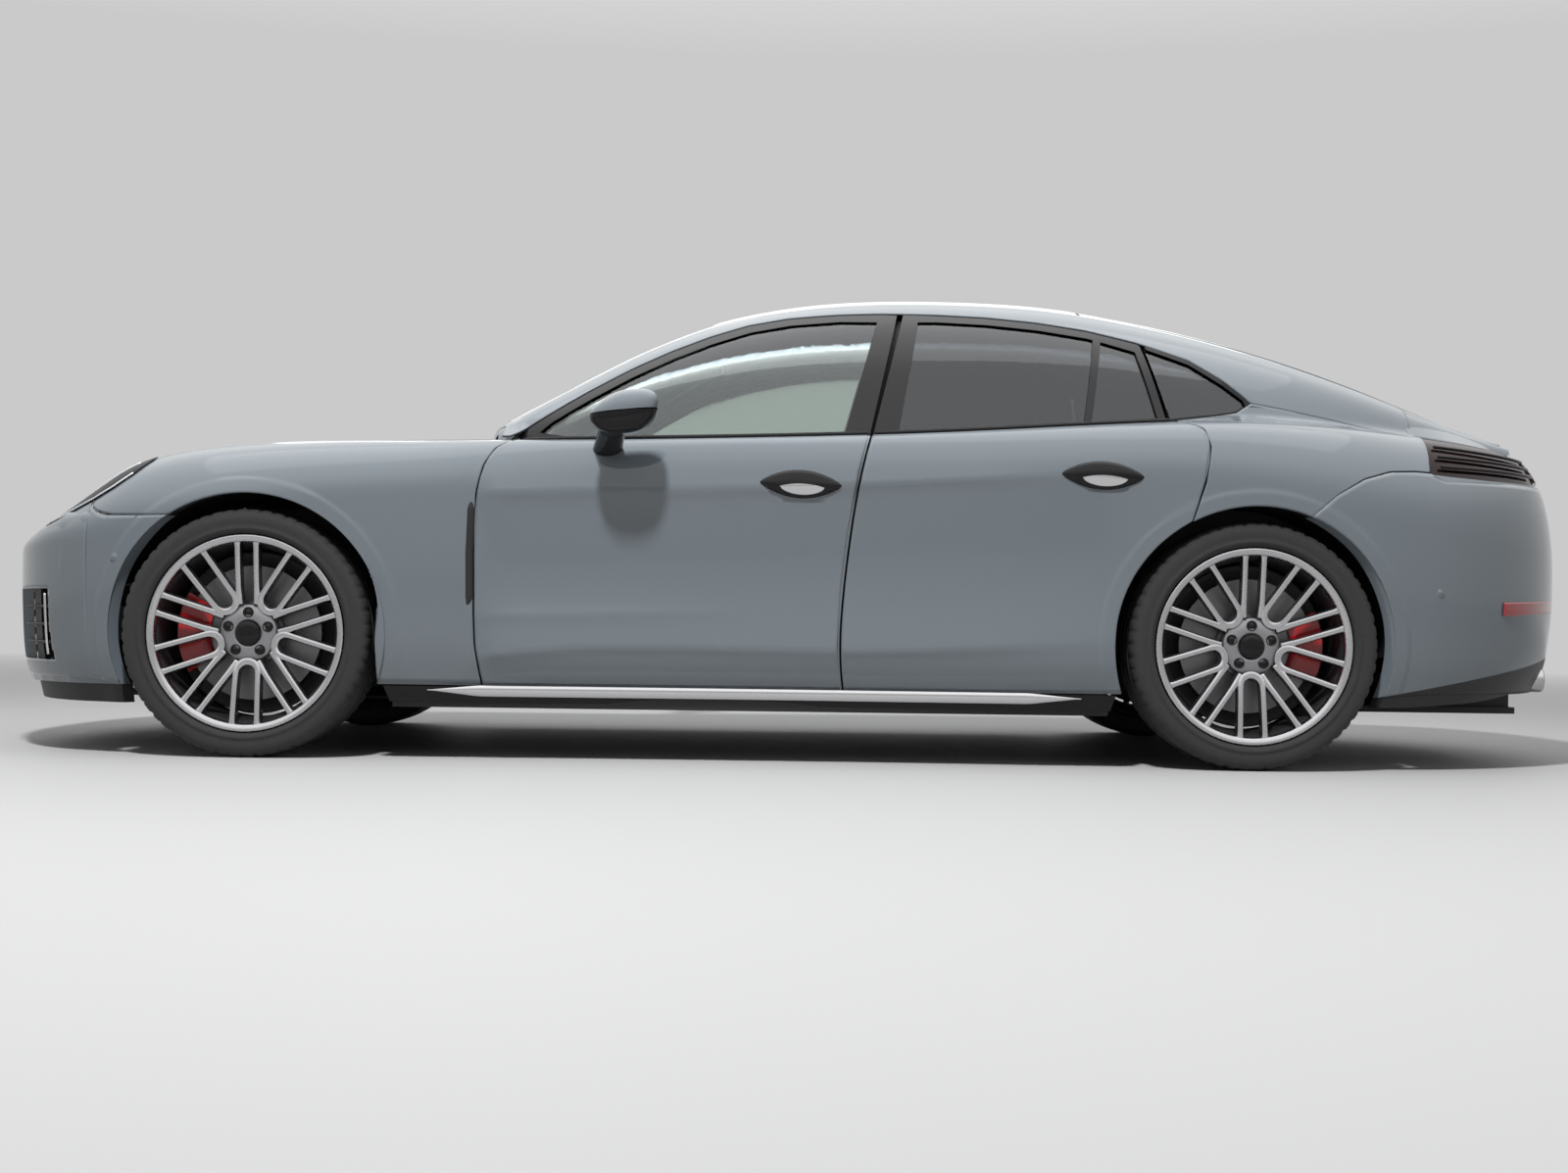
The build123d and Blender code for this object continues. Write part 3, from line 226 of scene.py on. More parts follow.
def wrap(t, z, nose):
    """Nose or tail: t runs round the plan super-ellipse from the side (0) to the middle (1). Above the widest
    height the section closes to the crest; below it, it is drawn in along the outline's own normal."""
    over = FRONT_OVERHANG if nose else REAR_OVERHANG
    half = FRONT_HALF if nose else HAUNCH_HALF
    start = (NOSE_START - FRONT_AXLE) if nose else (REAR_AXLE - TAIL_START)
    a0 = np.arcsin((start / over)**(PLAN_LONG / 2))
    a = a0 + t * (np.pi / 2 - a0)
    px = over * np.sin(a)**(2 / PLAN_LONG)
    py = half * np.clip(np.cos(a), 0, 1)**(2 / PLAN_WIDE)
    gx = PLAN_LONG / over * (px / over)**(PLAN_LONG - 1)
    gy = PLAN_WIDE / half * (py / half)**(PLAN_WIDE - 1)
    g = np.hypot(gx, gy)
    zm = (620 - 60 * t) if nose else (690 - 190 * t)
    zc = NOSE_Z(t) if nose else TAIL_Z(t)
    cx = (NOSE_X(t) - FRONT_AXLE) if nose else (REAR_AXLE - TAIL_X(t))
    cy = NOSE_Y(t) if nose else TAIL_Y(t)
    f = np.sqrt(np.clip(1 - np.clip((z - zm) / (zc - zm), 0, 1)**SECTION_POWER, 0, 1))
    q = np.clip((zm - z) / (zm - SILL_Z), 0, 1.2)
    inset = WING_INSET(q) * ((1 - 0.6 * t) if nose else (1 + 1.2 * t))
    x = np.where(z > zm, cx + (px - cx) * f, px - inset * gx / g)
    y = np.where(z > zm, cy + (py - cy) * f, py - inset * gy / g)
    return np.stack([FRONT_AXLE + x if nose else REAR_AXLE - x, np.clip(y, 0, None), z + 0 * t], -1)


def crest_at(x):
    """Half width and height of the crest line over the whole front, read from a table of stations."""
    s = np.linspace(700, NOSE_START - 1, 300)
    t = np.linspace(0, 1, 200)
    xs = np.concatenate([s, NOSE_X(t)])
    ys = np.concatenate([CREST_Y(s), NOSE_Y(t)])
    zs = np.concatenate([CREST_Z(s), NOSE_Z(t)])
    return np.interp(x, xs, ys), np.interp(x, xs, zs)


def hood_z(x, y):
    """Bonnet: a parabola over the width from the crest up to the middle line."""
    yc, zc = crest_at(x)
    v = np.clip(np.abs(y) / np.maximum(yc, 1), 0, 1)
    return zc + (HOOD_Z(x) - zc) * (1 - v**2)


def rail_z(x):
    """Height of the roof rail: a share of the glasshouse height."""
    return BASE_Z(x) + RAIL_H(x) * (TOP_Z(x) - BASE_Z(x))


def rail_y(x):
    """Half width at the roof rail."""
    return canopy_y(x, rail_z(x))


print("half width at the doors", round(float(side_y(np.array(0.0), np.array(805.0)))), "mm")

# %% [markdown]
# Every piece is one or more grids of points. A helper turns each grid into quads, turns the faces outwards by
# comparing their normals with a given direction, scales to metres, and hands the object to its CAD body.


# %% Mesh helpers
def sheet(x, y, z):
    """Grid of points from three arrays or numbers, spread over each other."""
    return np.stack(np.broadcast_arrays(x, y, z), -1)


def quads(n, m, round_u=False, round_v=False):
    """Corner numbers of the cells of an n by m grid, closed round either way if asked."""
    i = np.arange(n * m).reshape(n, m)
    if round_u:
        i = np.concatenate([i, i[:1]], 0)
    if round_v:
        i = np.concatenate([i, i[:, :1]], 1)
    return np.stack([i[:-1, :-1], i[1:, :-1], i[1:, 1:], i[:-1, 1:]], -1).reshape(-1, 4)


def outward(points, faces, out):
    """Faces turned over if their mean normal points against out, or towards the middle where out is None."""
    a, b, c, d = (points[faces[:, k]] for k in range(4))
    normal = np.cross(c - a, d - b)
    away = (a + c) / 2 - points.mean(0) if out is None else np.array(out, float)
    return faces[:, ::-1] if np.sum(normal * away) < 0 else faces


def piece(name, grids, body, finish, wall=0.0):
    """One object from a list of (points, options). Options: out, the side to face; round_u and round_v,
    closed that way; mark or marks, the finish number of all faces or of each column; keep, a test on the
    middles of the faces."""
    verts, faces, marks, start = [], [], [], 0
    for points, opt in grids:
        n, m = points.shape[:2]
        p = points.reshape(-1, 3)
        f = quads(n, m, opt.get("round_u", False), opt.get("round_v", False))
        f = outward(p, f, opt.get("out"))
        if "keep" in opt:
            f = f[opt["keep"](p[f].mean(1))]
        verts.append(p)
        faces.append(f + start)
        column = opt.get("marks", [opt.get("mark", 0)])
        marks.append(np.tile(column, len(f) // len(column)))
        start += len(p)
    mesh = bpy.data.meshes.new(name)
    mesh.from_pydata((np.concatenate(verts) * METRE).tolist(), [], np.concatenate(faces).tolist())
    mesh.polygons.foreach_set("material_index", np.concatenate(marks).astype(np.int32))
    mesh.polygons.foreach_set("use_smooth", np.full(len(mesh.polygons), True))
    finishes = finish if isinstance(finish, list) else [finish]
    for f in finishes:
        mesh.materials.append(f.mat)
    obj = bpy.data.objects.new(name, mesh)
    bpy.context.scene.collection.objects.link(obj)
    if wall:
        shell = obj.modifiers.new("wall", "SOLIDIFY")
        shell.thickness = wall * METRE
        shell.offset = -1.0
    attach(obj, body)
    return obj


def mirror(grids):
    """The same grids on the other side of the car."""
    flip = np.array([1.0, -1.0, 1.0])
    turned = []
    for points, opt in grids:
        other = dict(opt)
        if opt.get("out") is not None:
            other["out"] = np.array(opt["out"], float) * flip
        if "keep" in opt:
            other["keep"] = lambda c, k=opt["keep"]: k(c * flip)
        turned.append((points * flip, other))
    return turned


def both(name, grids, body, finish, wall=0.0):
    """A left piece and its mirror image; a body given as a pair names the left and the right one."""
    left, right = body if isinstance(body, tuple) else (body, body)
    return (piece(name + "_l", grids, left, finish, wall),
            piece(name + "_r", mirror(grids), right, finish, wall))


def run(points, n):
    """n points at even steps of length along a polyline."""
    p = np.array(points, float)
    d = np.concatenate([[0], np.cumsum(np.linalg.norm(np.diff(p, axis=0), axis=1))])
    s = np.linspace(0, d[-1], n)
    return np.stack([np.interp(s, d, p[:, k]) for k in range(p.shape[1])], -1)


def patch(bottom, top, left, right, n, m):
    """Coons patch in the side view: two ruled sheets added, the sheet through the corners taken away."""
    b, t, le, r = run(bottom, n), run(top, n), run(left, m), run(right, m)
    u = np.linspace(0, 1, n)[:, None, None]
    v = np.linspace(0, 1, m)[None, :, None]
    rows = (1 - v) * b[:, None] + v * t[:, None]
    columns = (1 - u) * le[None] + u * r[None]
    corners = (1 - u) * (1 - v) * b[0] + u * (1 - v) * b[-1] + (1 - u) * v * t[0] + u * v * t[-1]
    return rows + columns - corners


def tube(path, radius, n=10, squash=1.0):
    """Round bar along a path: a circle carried in the plane across each step; squash flattens it in z."""
    p = np.array(path, float)
    d = np.gradient(p, axis=0)
    d /= np.linalg.norm(d, axis=1)[:, None]
    up = np.where(np.abs(d[:, 2:]) > 0.9, [[1.0, 0, 0]], [[0, 0, 1.0]])
    a = np.cross(d, up)
    a /= np.linalg.norm(a, axis=1)[:, None]
    b = np.cross(a, d)
    w = np.linspace(0, 2 * np.pi, n, endpoint=False)
    radius = np.broadcast_to(radius, len(p))[:, None, None]
    ring = np.cos(w)[None, :, None] * a[:, None] + squash * np.sin(w)[None, :, None] * b[:, None]
    return p[:, None] + radius * ring


def capped(grid):
    """A round bar's grid with both ends drawn in to their middles."""
    first = np.repeat(grid[:1].mean(1, keepdims=True), grid.shape[1], 1)
    last = np.repeat(grid[-1:].mean(1, keepdims=True), grid.shape[1], 1)
    return np.concatenate([first, grid, last], 0)


def bar(path, radius, n=10, squash=1.0):
    """Closed round bar along a path, as one grid with its option."""
    return capped(tube(path, radius, n, squash)), {"round_v": True}


print("mesh helpers ready")

# %% [markdown]
# Finishes are node materials. A socket wrapped in a small class can be added, multiplied and compared, so the
# masks below read like sums. One method adds any other node. Patterns read Object coordinates, in metres.


# %% Shader helpers
OBJECT = 3
NORMAL = 1
MIX_MASK, MIX_A, MIX_B, MIX_COLOUR = 0, 6, 7, 2


def plug(tree, socket, value):
    """Links a tone to a socket, or sets a plain value there."""
    if isinstance(value, Tone):
        tree.links.new(value.socket, socket)
    elif value is not None:
        socket.default_value = value


def blend(tree, share, first, second, end):
    """Mixes two shaders by a tone and links the mix to the end node of the tree."""
    made = tree.nodes.new("ShaderNodeMixShader")
    for slot, source in zip(made.inputs, (share.socket, first.outputs[0], second.outputs[0])):
        tree.links.new(source, slot)
    tree.links.new(made.outputs[0], tree.nodes[end].inputs[0])


class Tone:
    """A shader value: each operator adds one Math node."""

    def __init__(self, tree, socket):
        self.tree = tree
        self.socket = socket

    def math(self, operation, other=None, swap=False):
        """This value and another, or the other first, through one Math node."""
        node = self.tree.nodes.new("ShaderNodeMath")
        node.operation = operation
        pair = (other, self) if swap else (self, other)
        for slot, value in zip(node.inputs, pair):
            plug(self.tree, slot, value)
        return Tone(self.tree, node.outputs[0])

    def parts(self):
        """The x, y and z of a vector."""
        apart = self.tree.nodes.new("ShaderNodeSeparateXYZ")
        self.tree.links.new(self.socket, apart.inputs[0])
        return [Tone(self.tree, socket) for socket in apart.outputs]

    def __add__(self, other):
        return self.math("ADD", other)

    def __sub__(self, other):
        return self.math("SUBTRACT", other)

    def __mul__(self, other):
        return self.math("MULTIPLY", other)

    def __rsub__(self, other):
        return self.math("SUBTRACT", other, True)

    def __gt__(self, other):
        return self.math("GREATER_THAN", other)

    def __lt__(self, other):
        return self.math("LESS_THAN", other)

    __radd__ = __add__
    __rmul__ = __mul__


class Finish:
    """A material with a principled shader. Noise is (scale, span, low) of the roughness; relief is (scale,
    detail, strength, distance) of a bump; other sockets are given by name."""

    def __init__(self, name, colour, rough, noise=None, relief=None, **inputs):
        self.mat = bpy.data.materials.new(name)
        self.mat.use_nodes = True
        self.tree = self.mat.node_tree
        self.shader = self.tree.nodes["Principled BSDF"]
        self.feed(self.shader, Base_Color=(*colour, 1.0), Roughness=rough, **inputs)
        if noise:
            scale, span, low = noise
            self.feed(self.shader, Roughness=self.grain(scale) * span + low)
        if relief:
            scale, detail, strength, distance = relief
            height = self.grain(scale, detail)
            bump = self.node("Bump", Height=height, Strength=strength, Distance=distance)
            self.feed(self.shader, Normal=bump)

    def feed(self, node, **inputs):
        """Gives tones or plain values to sockets; spaces in their names are written as underscores."""
        for name, value in inputs.items():
            plug(self.tree, node.inputs[name.replace("_", " ")], value)

    def node(self, kind, out=0, **inputs):
        """Adds a node and gives one of its outputs."""
        made = self.tree.nodes.new("ShaderNode" + kind)
        self.feed(made, **inputs)
        return Tone(self.tree, made.outputs[out])

    def spot(self):
        """Object coordinates as x, y and z."""
        return self.node("TexCoord", OBJECT).parts()

    def grain(self, scale, detail=3.0):
        """Noise between 0 and 1 on object coordinates."""
        return self.node("TexNoise", Vector=self.node("TexCoord", OBJECT), Scale=scale, Detail=detail)

    def mix(self, mask, a, b):
        """Colour a where the mask is 0 and b where it is 1."""
        made = self.tree.nodes.new("ShaderNodeMix")
        made.data_type = "RGBA"
        for k, value in ((MIX_MASK, mask), (MIX_A, (*a, 1.0)), (MIX_B, (*b, 1.0))):
            plug(self.tree, made.inputs[k], value)
        return Tone(self.tree, made.outputs[MIX_COLOUR])


print("shader helpers ready")

# %% [markdown]
# The body colour is a solid slate grey under clear lacquer. The lacquer gives the sharp reflections, and a
# trace of noise in the colour keeps large panels from looking like plastic. For most other finishes the noise
# is in the roughness. Trim is gloss or satin black.

# %% Finishes
SLATE = (0.158, 0.186, 0.209)


def lacquer(name):
    """Slate paint under clear lacquer."""
    return Finish(name, SLATE, 0.42, Coat_Weight=1.0, Coat_Roughness=0.03)


paint = lacquer("slate_paint")
darker, lighter = (tuple(c * share for c in SLATE) for share in (0.94, 1.06))
paint.feed(paint.shader, Base_Color=paint.mix(paint.grain(900.0, 2.0), darker, lighter))
black = Finish("gloss_black", (0.005, 0.005, 0.006), 0.08, (60.0, 0.05, 0.06), Specular_IOR_Level=0.3)
satin = Finish("satin_black", (0.016, 0.016, 0.017), 0.55, (180.0, 0.2, 0.45), (1400.0, 3.0, 0.12, 0.0004))
trim = Finish("cabin_trim", (0.022, 0.021, 0.020), 0.6, None, (1800.0, 4.0, 0.2, 0.0004))
pale = Finish("headliner_cloth", (0.42, 0.40, 0.37), 0.9, None, (2200.0, 2.0, 0.3, 0.0005))
hide = Finish("seat_leather", (0.030, 0.028, 0.027), 0.5, (90.0, 0.25, 0.38), (1500.0, 5.0, 0.35, 0.0006))
rubber = Finish("tyre_rubber", (0.034, 0.034, 0.035), 0.72, (70.0, 0.18, 0.62), (900.0, 3.0, 0.25, 0.0005))
bright = Finish("machined_alloy", (0.50, 0.50, 0.51), 0.26, (240.0, 0.14, 0.20), Metallic=1.0)
smoke = Finish("rim_graphite", (0.085, 0.087, 0.092), 0.38, (300.0, 0.12, 0.32), Metallic=0.7,
               Coat_Weight=0.4)
iron = Finish("disc_iron", (0.20, 0.20, 0.205), 0.4, (420.0, 0.2, 0.32), Metallic=1.0)
cast = Finish("cast_metal", (0.10, 0.10, 0.105), 0.55, None, (500.0, 3.0, 0.3, 0.0008), Metallic=0.8)
red = Finish("caliper_red", (0.66, 0.006, 0.014), 0.34, (200.0, 0.12, 0.28), Coat_Weight=0.6)
silver = Finish("bright_strip", (0.60, 0.60, 0.61), 0.16, (120.0, 0.10, 0.12), Metallic=1.0)
lens_red = Finish("reflector_red", (0.42, 0.012, 0.020), 0.12, (800.0, 0.1, 0.1), Coat_Weight=1.0)
lens_dark = Finish("smoked_lens", (0.016, 0.006, 0.007), 0.10, (90.0, 0.06, 0.07), Specular_IOR_Level=0.25)
glow = Finish("lamp_element", (0.85, 0.87, 0.90), 0.2, (300.0, 0.1, 0.14), Metallic=0.6)
lamp_black = Finish("lamp_inside", (0.014, 0.014, 0.016), 0.25, (90.0, 0.08, 0.22), Specular_IOR_Level=0.06)
hub_grey = Finish("hub_alloy", (0.30, 0.30, 0.31), 0.38, (240.0, 0.14, 0.3), Metallic=0.8)
print(len(bpy.data.materials), "finishes so far")

# %% [markdown]
# Car glass is thin: light goes straight through it with a tint, and the angle of view decides how much it
# mirrors. A clear shader and a glossy one are mixed by a Fresnel value, which is quicker and quieter than
# real refraction.


# %% Glass
def glass(name, tint, gloss):
    """Thin glass: a tinted clear shader and a mirror, mixed by the angle of view."""
    made = Finish(name, tint, 0.02)
    tree = made.tree
    clear = tree.nodes.new("ShaderNodeBsdfTransparent")
    clear.inputs["Color"].default_value = (*tint, 1.0)
    shine = tree.nodes.new("ShaderNodeBsdfGlossy")
    shine.inputs["Roughness"].default_value = 0.015
    shine.inputs["Color"].default_value = (0.95, 0.97, 1.0, 1.0)
    edge = made.node("Fresnel", IOR=1.5)
    blend(tree, edge * gloss + 0.02, clear, shine, "Material Output")
    return made


light_glass = glass("clear_glass", (0.78, 0.83, 0.80), 1.3)
dark_glass = glass("privacy_glass", (0.22, 0.235, 0.24), 1.3)
print("glass ready")

# %% [markdown]
# The solids that stay in view take these finishes. A door solid is painted outside, black above the belt and
# trimmed on its cabin side, so its material asks for the height over the belt curve and for the direction
# that the face looks. The rear bumper is black below a line that rises to the tail.

# %% Finishes on the solids
belt_x = np.linspace(-1150, 900, 40)
belt_fit = np.polyfit(belt_x * METRE, CREST_Z(belt_x) * METRE, 2)
FRONT_GRIP = (-0.026, 0.808)
REAR_GRIP = (-0.888, 0.842)
GRIP_HALF = (0.114, 0.028)
GRIP_OUT = 0.90
DEEP_BLACK = (0.006, 0.006, 0.007)
VALANCE_BLACK = (0.010, 0.010, 0.011)
VALANCE_SLOPE = -0.18
VALANCE_RISE = -0.090


def panel_finish(name, above):
    """Paint outside; trim where the face looks to the middle of the car. A door is black over the belt, and
    its plain grip block is clear, because a shaped handle stands in its place."""
    made = lacquer(name)
    x, y, z = made.spot()
    look = made.node("NewGeometry", NORMAL).parts()
    inner = (look[1] * y) < -0.12
    dark = inner
    if above:
        grip = 0.0
        for cx, cz in (FRONT_GRIP, REAR_GRIP):
            along = (x - cx).math("ABSOLUTE") < GRIP_HALF[0]
            near = along * ((z - cz).math("ABSOLUTE") < GRIP_HALF[1])
            grip = near + grip
        grip = grip * (y.math("ABSOLUTE") > GRIP_OUT)
        made.feed(made.shader, Alpha=1.0 - grip)
        belt = x * x * float(belt_fit[0]) + x * float(belt_fit[1]) + float(belt_fit[2])
        dark = dark.math("MAXIMUM", z > belt + 0.001)
    made.feed(made.shader, Base_Color=made.mix(dark, SLATE, DEEP_BLACK), Coat_Weight=1.0 - dark,
              Roughness=inner * 0.25 + 0.3)
    return made


door_paint = panel_finish("door_panel", True)
side_paint = panel_finish("body_panel", False)
tail_paint = lacquer("rear_valance")
x, y, z = tail_paint.spot()
valance = z < (x * VALANCE_SLOPE + VALANCE_RISE)
tail_paint.feed(tail_paint.shader, Base_Color=tail_paint.mix(valance, SLATE, VALANCE_BLACK),
                Coat_Weight=1.0 - valance)
SIDES = ("l", "r")
WHEELS = ("fl", "fr", "rl", "rr")
WEAR = {
    door_paint: [f"{k}_door_{s}" for k in ("front", "rear") for s in SIDES],
    side_paint: [f"{k}_{s}" for k in ("front_wing", "body_side") for s in SIDES] + ["front_bumper"],
    tail_paint: ["rear_bumper"],
    paint: ["bonnet", "roof_panel", "tailgate"],
    black: ["quarter_window_frame", "side_skirts"],
    light_glass: ["front_door_glass_l", "front_door_glass_r", "windscreen"],
    dark_glass: ["rear_door_glass_l", "rear_door_glass_r", "quarter_glass", "tailgate_glass"],
    satin: ["body_shell", "front_lip", "diffuser", "grille"],
    trim: ["b_pillars", "dashboard", "steering_wheel"],
    iron: [f"brake_disc_{w}" for w in WHEELS],
    red: ["caliper_fl", "caliper_fr", "rear_calipers"],
    cast: ["knuckle_l", "knuckle_r", "rear_suspension", "front_suspension", "engine_block"],
    lens_dark: ["tail_lamps", "tail_light_bar", "headlamps"],
}
for finish, names in WEAR.items():
    for n in names:
        NODE[n].data.materials.clear()
        NODE[n].data.materials.append(finish.mat)
print("finishes on", sum(len(v) for v in WEAR.values()), "of", len(NODE), "solids")

# %% [markdown]
# The flank is pressed from a few large panels. Each is a Coons patch between its cut lines in the side view,
# with the half width read from the body surface. Low ridges are added for the shoulder line, the sill line, a
# short line between them and the lip round each wheel arch, because those are what the light picks out.

# %% Cut lines of the flank
WINDOW_TOP = [(827, 944), (716, 1014), (600, 1087), (483, 1156), (366, 1217), (250, 1268), (136, 1308),
              (17, 1332), (-133, 1345), (-267, 1349), (-431, 1346), (-581, 1338), (-730, 1322),
              (-879, 1297), (-1029, 1258), (-1178, 1204), (-1275, 1141), (-1335, 1092), (-1354, 1072)]
FRONT_SHUT = [(812, 931), (856, 904), (886, 853), (905, 774), (912, 591), (910, 420), (906, 328), (893, 249),
              (887, 219)]
MID_SHUT = [(-157, 219), (-146, 342), (-154, 499), (-171, 656), (-200, 839), (-231, 957)]
REAR_SHUT = [(-1146, 713), (-1183, 825), (-1200, 930), (-1188, 985), (-1150, 1006), (-1120, 1010)]
SEAM = [(-1354, 1074), (-1450, 1058), (-1600, 1032), (-1750, 1003), (-1862, 981)]
SPLIT = [(-1488, 731), (-1560, 794), (-1640, 842), (-1720, 866), (-1800, 870), (-1848, 868)]


def arc(axle, a0, a1, r, n=40):
    """Points of a wheel arch between two angles."""
    a = np.radians(np.linspace(a0, a1, n))
    return [(axle + r * c, TYRE_R + r * s) for c, s in zip(np.cos(a), np.sin(a))]


def moved(line, dx, dz=0.0):
    """A cut line shifted along and up."""
    return [(x + dx, z + dz) for x, z in line]


def crest_line(x0, x1, n=40, dz=-1.0):
    """Points along the crest, a little under it."""
    x = np.linspace(x0, x1, n)
    return list(zip(x, CREST_Z(x) + dz))


ARCH_LIP = 52.0
SHOULDER = spline([960, 901, 300, -210, -834, -1000], [763, 767, 787, 809, 840, 846])
SILL_LINE = spline([902, 896, -154, -721, -960], [296, 297, 328, 349, 356])
MID_LINE = spline([960, 902, 300, -1100], [416, 417, 430, 460])


def flank_y(x, z):
    """Body half width plus ridges exp(-|d| / w) on three creases, and a step at the arch lips. Each ridge is
    longer above its crease than below, so that the upper side catches the light."""
    y = body_y(x, z) + LIFT
    fade = np.clip((915 - x) / 60, 0, 1) * np.clip((x + 1050) / 500, 0, 1)
    short = np.clip((x - 60) / 420, 0, 1)
    creases = [(SHOULDER(x), 10.0, 48, 28), (SILL_LINE(x), 11.0, 70, 22), (MID_LINE(x), 5.0 * short, 40, 24)]
    for line, high, above, below in creases:
        d = z - line
        y = y + high * fade * np.exp(-np.abs(d) / np.where(d > 0, above, below))
    for axle in (FRONT_AXLE, REAR_AXLE):
        r = np.hypot(x - axle, z - TYRE_R)
        step = np.clip((ARCH_R + ARCH_LIP - r) / 16, 0, 1)
        y = y + 3.0 * step * step * (3 - 2 * step)
    return y


def flank(grid):
    """Side-view grid lifted onto the flank."""
    x, z = grid[..., 0], grid[..., 1]
    return sheet(x, flank_y(x, z), z)


def rolled(grid):
    """Two more rows inwards and down along the last row of a panel, as a folded edge."""
    last = grid[:, -1:]
    return np.concatenate([grid, last + [0, -3, 1.0], last + [0, -14, 1.0]], 1)


print("flank lines ready")

# %% [markdown]
# On the real car the wing, two doors and the haunch meet at narrow shut lines. Each panel ends short of its
# line. The front door skin stops further ahead, because the rear door swings its own front edge into that
# place as it opens; the painted solid shows there. A solidify modifier thickens each sheet inwards.

# %% Wings, doors and haunches
OUT_L = (0, 1, 0)
SHUT_HALF = 2.6
SWING_ROOM = 10.0
FRONT_DOORS = ("front_door_l", "front_door_r")
REAR_DOORS = ("rear_door_l", "rear_door_r")
wing_low = ([(890, 219), (1184, 219)] + arc(FRONT_AXLE, 200.5, 57.3, ARCH_R + 1, 60)
            + [(1800, 694.5), (1955, 695), (1985, 700), (2013, 708), (2035, 724)])
wing = patch(wing_low, crest_line(814, 1858, 60), moved(FRONT_SHUT, SHUT_HALF)[::-1],
             [(2035, 724), (2033, 764), (1971, 799), (1912, 833), (1858, 877)], 200, 46)
wing = flank(wing)
k = np.linspace(2, 30, 5)[None, :]
top_x = wing[:, -1:, 0]
top_y = wing[:, -1:, 1] - k
shelf = sheet(top_x, top_y, np.maximum(hood_z(top_x, top_y), wing[:, -1:, 2]))
wing = np.concatenate([wing, shelf], 1)
both("wing_skin", [(wing, {"out": OUT_L})], "body", paint, 6.0)
front_door = patch([(-147, 219), (884, 219)], crest_line(-221, 809, 60, -3), moved(MID_SHUT, SWING_ROOM),
                   moved(FRONT_SHUT, -SHUT_HALF)[::-1], 150, 60)
both("front_door_skin", [(rolled(flank(front_door)), {"out": OUT_L})], FRONT_DOORS, paint, 2.0)
rear_edge = arc(REAR_AXLE, -20.2, 62.0, ARCH_R + 1, 40) + moved(REAR_SHUT, 3)[1:]
rear_door = patch([(-161, 219), (-957, 219)], crest_line(-235, -1117, 60, -3), moved(MID_SHUT, -4.0),
                  rear_edge, 150, 70)
both("rear_door_skin", [(rolled(flank(rear_door)), {"out": OUT_L})], REAR_DOORS, paint, 2.0)
haunch_top = [(-1123, 1013), (-1131, 1016), (-1245, 1032), (-1308, 1044), (-1346, 1068)] + SEAM
haunch = patch(arc(REAR_AXLE, 62.2, 112.4, ARCH_R + 1, 40) + moved(SPLIT, 0, 2), haunch_top,
               moved(REAR_SHUT, -3)[:-1] + [(-1123, 1013)], [(-1848, 870), (-1862, 981)], 150, 50)
both("haunch_skin", [(flank(haunch), {"out": OUT_L})], "body", paint, 6.0)
print("flank panels", wing.shape, front_door.shape, rear_door.shape, haunch.shape)

# %% [markdown]
# The roof rails, the roof and the bonnet are read straight from the surface formulas, one point per grid
# place. Steps across the width follow a sine, so that they are finer at the edges, where the metal turns
# down.

# %% Roof rails, roof and bonnet
x = np.linspace(852, -1862, 240)[:, None]
window = np.array(WINDOW_TOP[::-1])
seam = np.array(SEAM[::-1])
low = np.interp(x, window[:, 0], window[:, 1]) + 3.5
low = np.where(x < SEAM[0][0], np.interp(x, seam[:, 0], seam[:, 1]), low)
low = np.minimum(low, rail_z(x) - 2)
z = low + (rail_z(x) - low) * np.linspace(0, 1, 22)[None, :]
rail = sheet(x, body_y(x, z) + LIFT, z)
y = rail_y(x) - np.linspace(1.5, 33, 8)[None, :]
over = sheet(x, y, roof_z(x, y) + LIFT)
both("roof_rail_skin", [(np.concatenate([rail, over], 1), {"out": (0, 1, 0.3)})], "body", paint, 6.0)
x = np.linspace(245, -870, 90)[:, None]
y = np.sin(np.linspace(-1, 1, 61) * np.pi / 2)[None, :] * (rail_y(x) - 34.5)
roof = sheet(x, y, roof_z(x, y) + LIFT)
piece("roof_skin", [(roof, {"out": (0, 0, 1)})], "body", paint, 6.0)
v = np.sin(np.linspace(-1, 1, 71) * np.pi / 2)[None, :]
u = np.linspace(0, 1, 110)[:, None]
t = np.linspace(1, 0.3, 80)
nose_edge = np.interp(np.abs(v) * 540, NOSE_Y(t), NOSE_X(t)) - 3
x = (1035 - 150 * (np.abs(800 * v) / 760)**2) * (1 - u) + nose_edge * u
y = v * (crest_at(x)[0] - 34.5)
bonnet = sheet(x, y, hood_z(x, y) + LIFT)
piece("bonnet_skin", [(bonnet, {"out": (0, 0, 1)})], "bonnet", paint, 5.0)
print("top panels", rail.shape, roof.shape, bonnet.shape)

# %% [markdown]
# The wheel is the part that rewards the most care. Ten pairs of slim spokes run from the hub to the rim. Five
# pairs stand over the lugs, and five between them join at the hub in a U, into which their neighbours run.
# Each spoke is a closed ridge swept along its own line: a machined face with darker flanks.

# %% Spokes
FACE = spline([0, 60, 80, 120, 200, 264], [83, 83, 84.5, 93, 106, 113])
LUGS = 5
LUG_R = 60.0
SPOKE_END = 266.0
LUG_HALF = 26.0
U_HALF = 32.0
U_MIDDLE = 114.0
SPOKE_WIDTH = 15.5
lug_angles = np.radians(90 + 360 / LUGS * np.arange(LUGS))


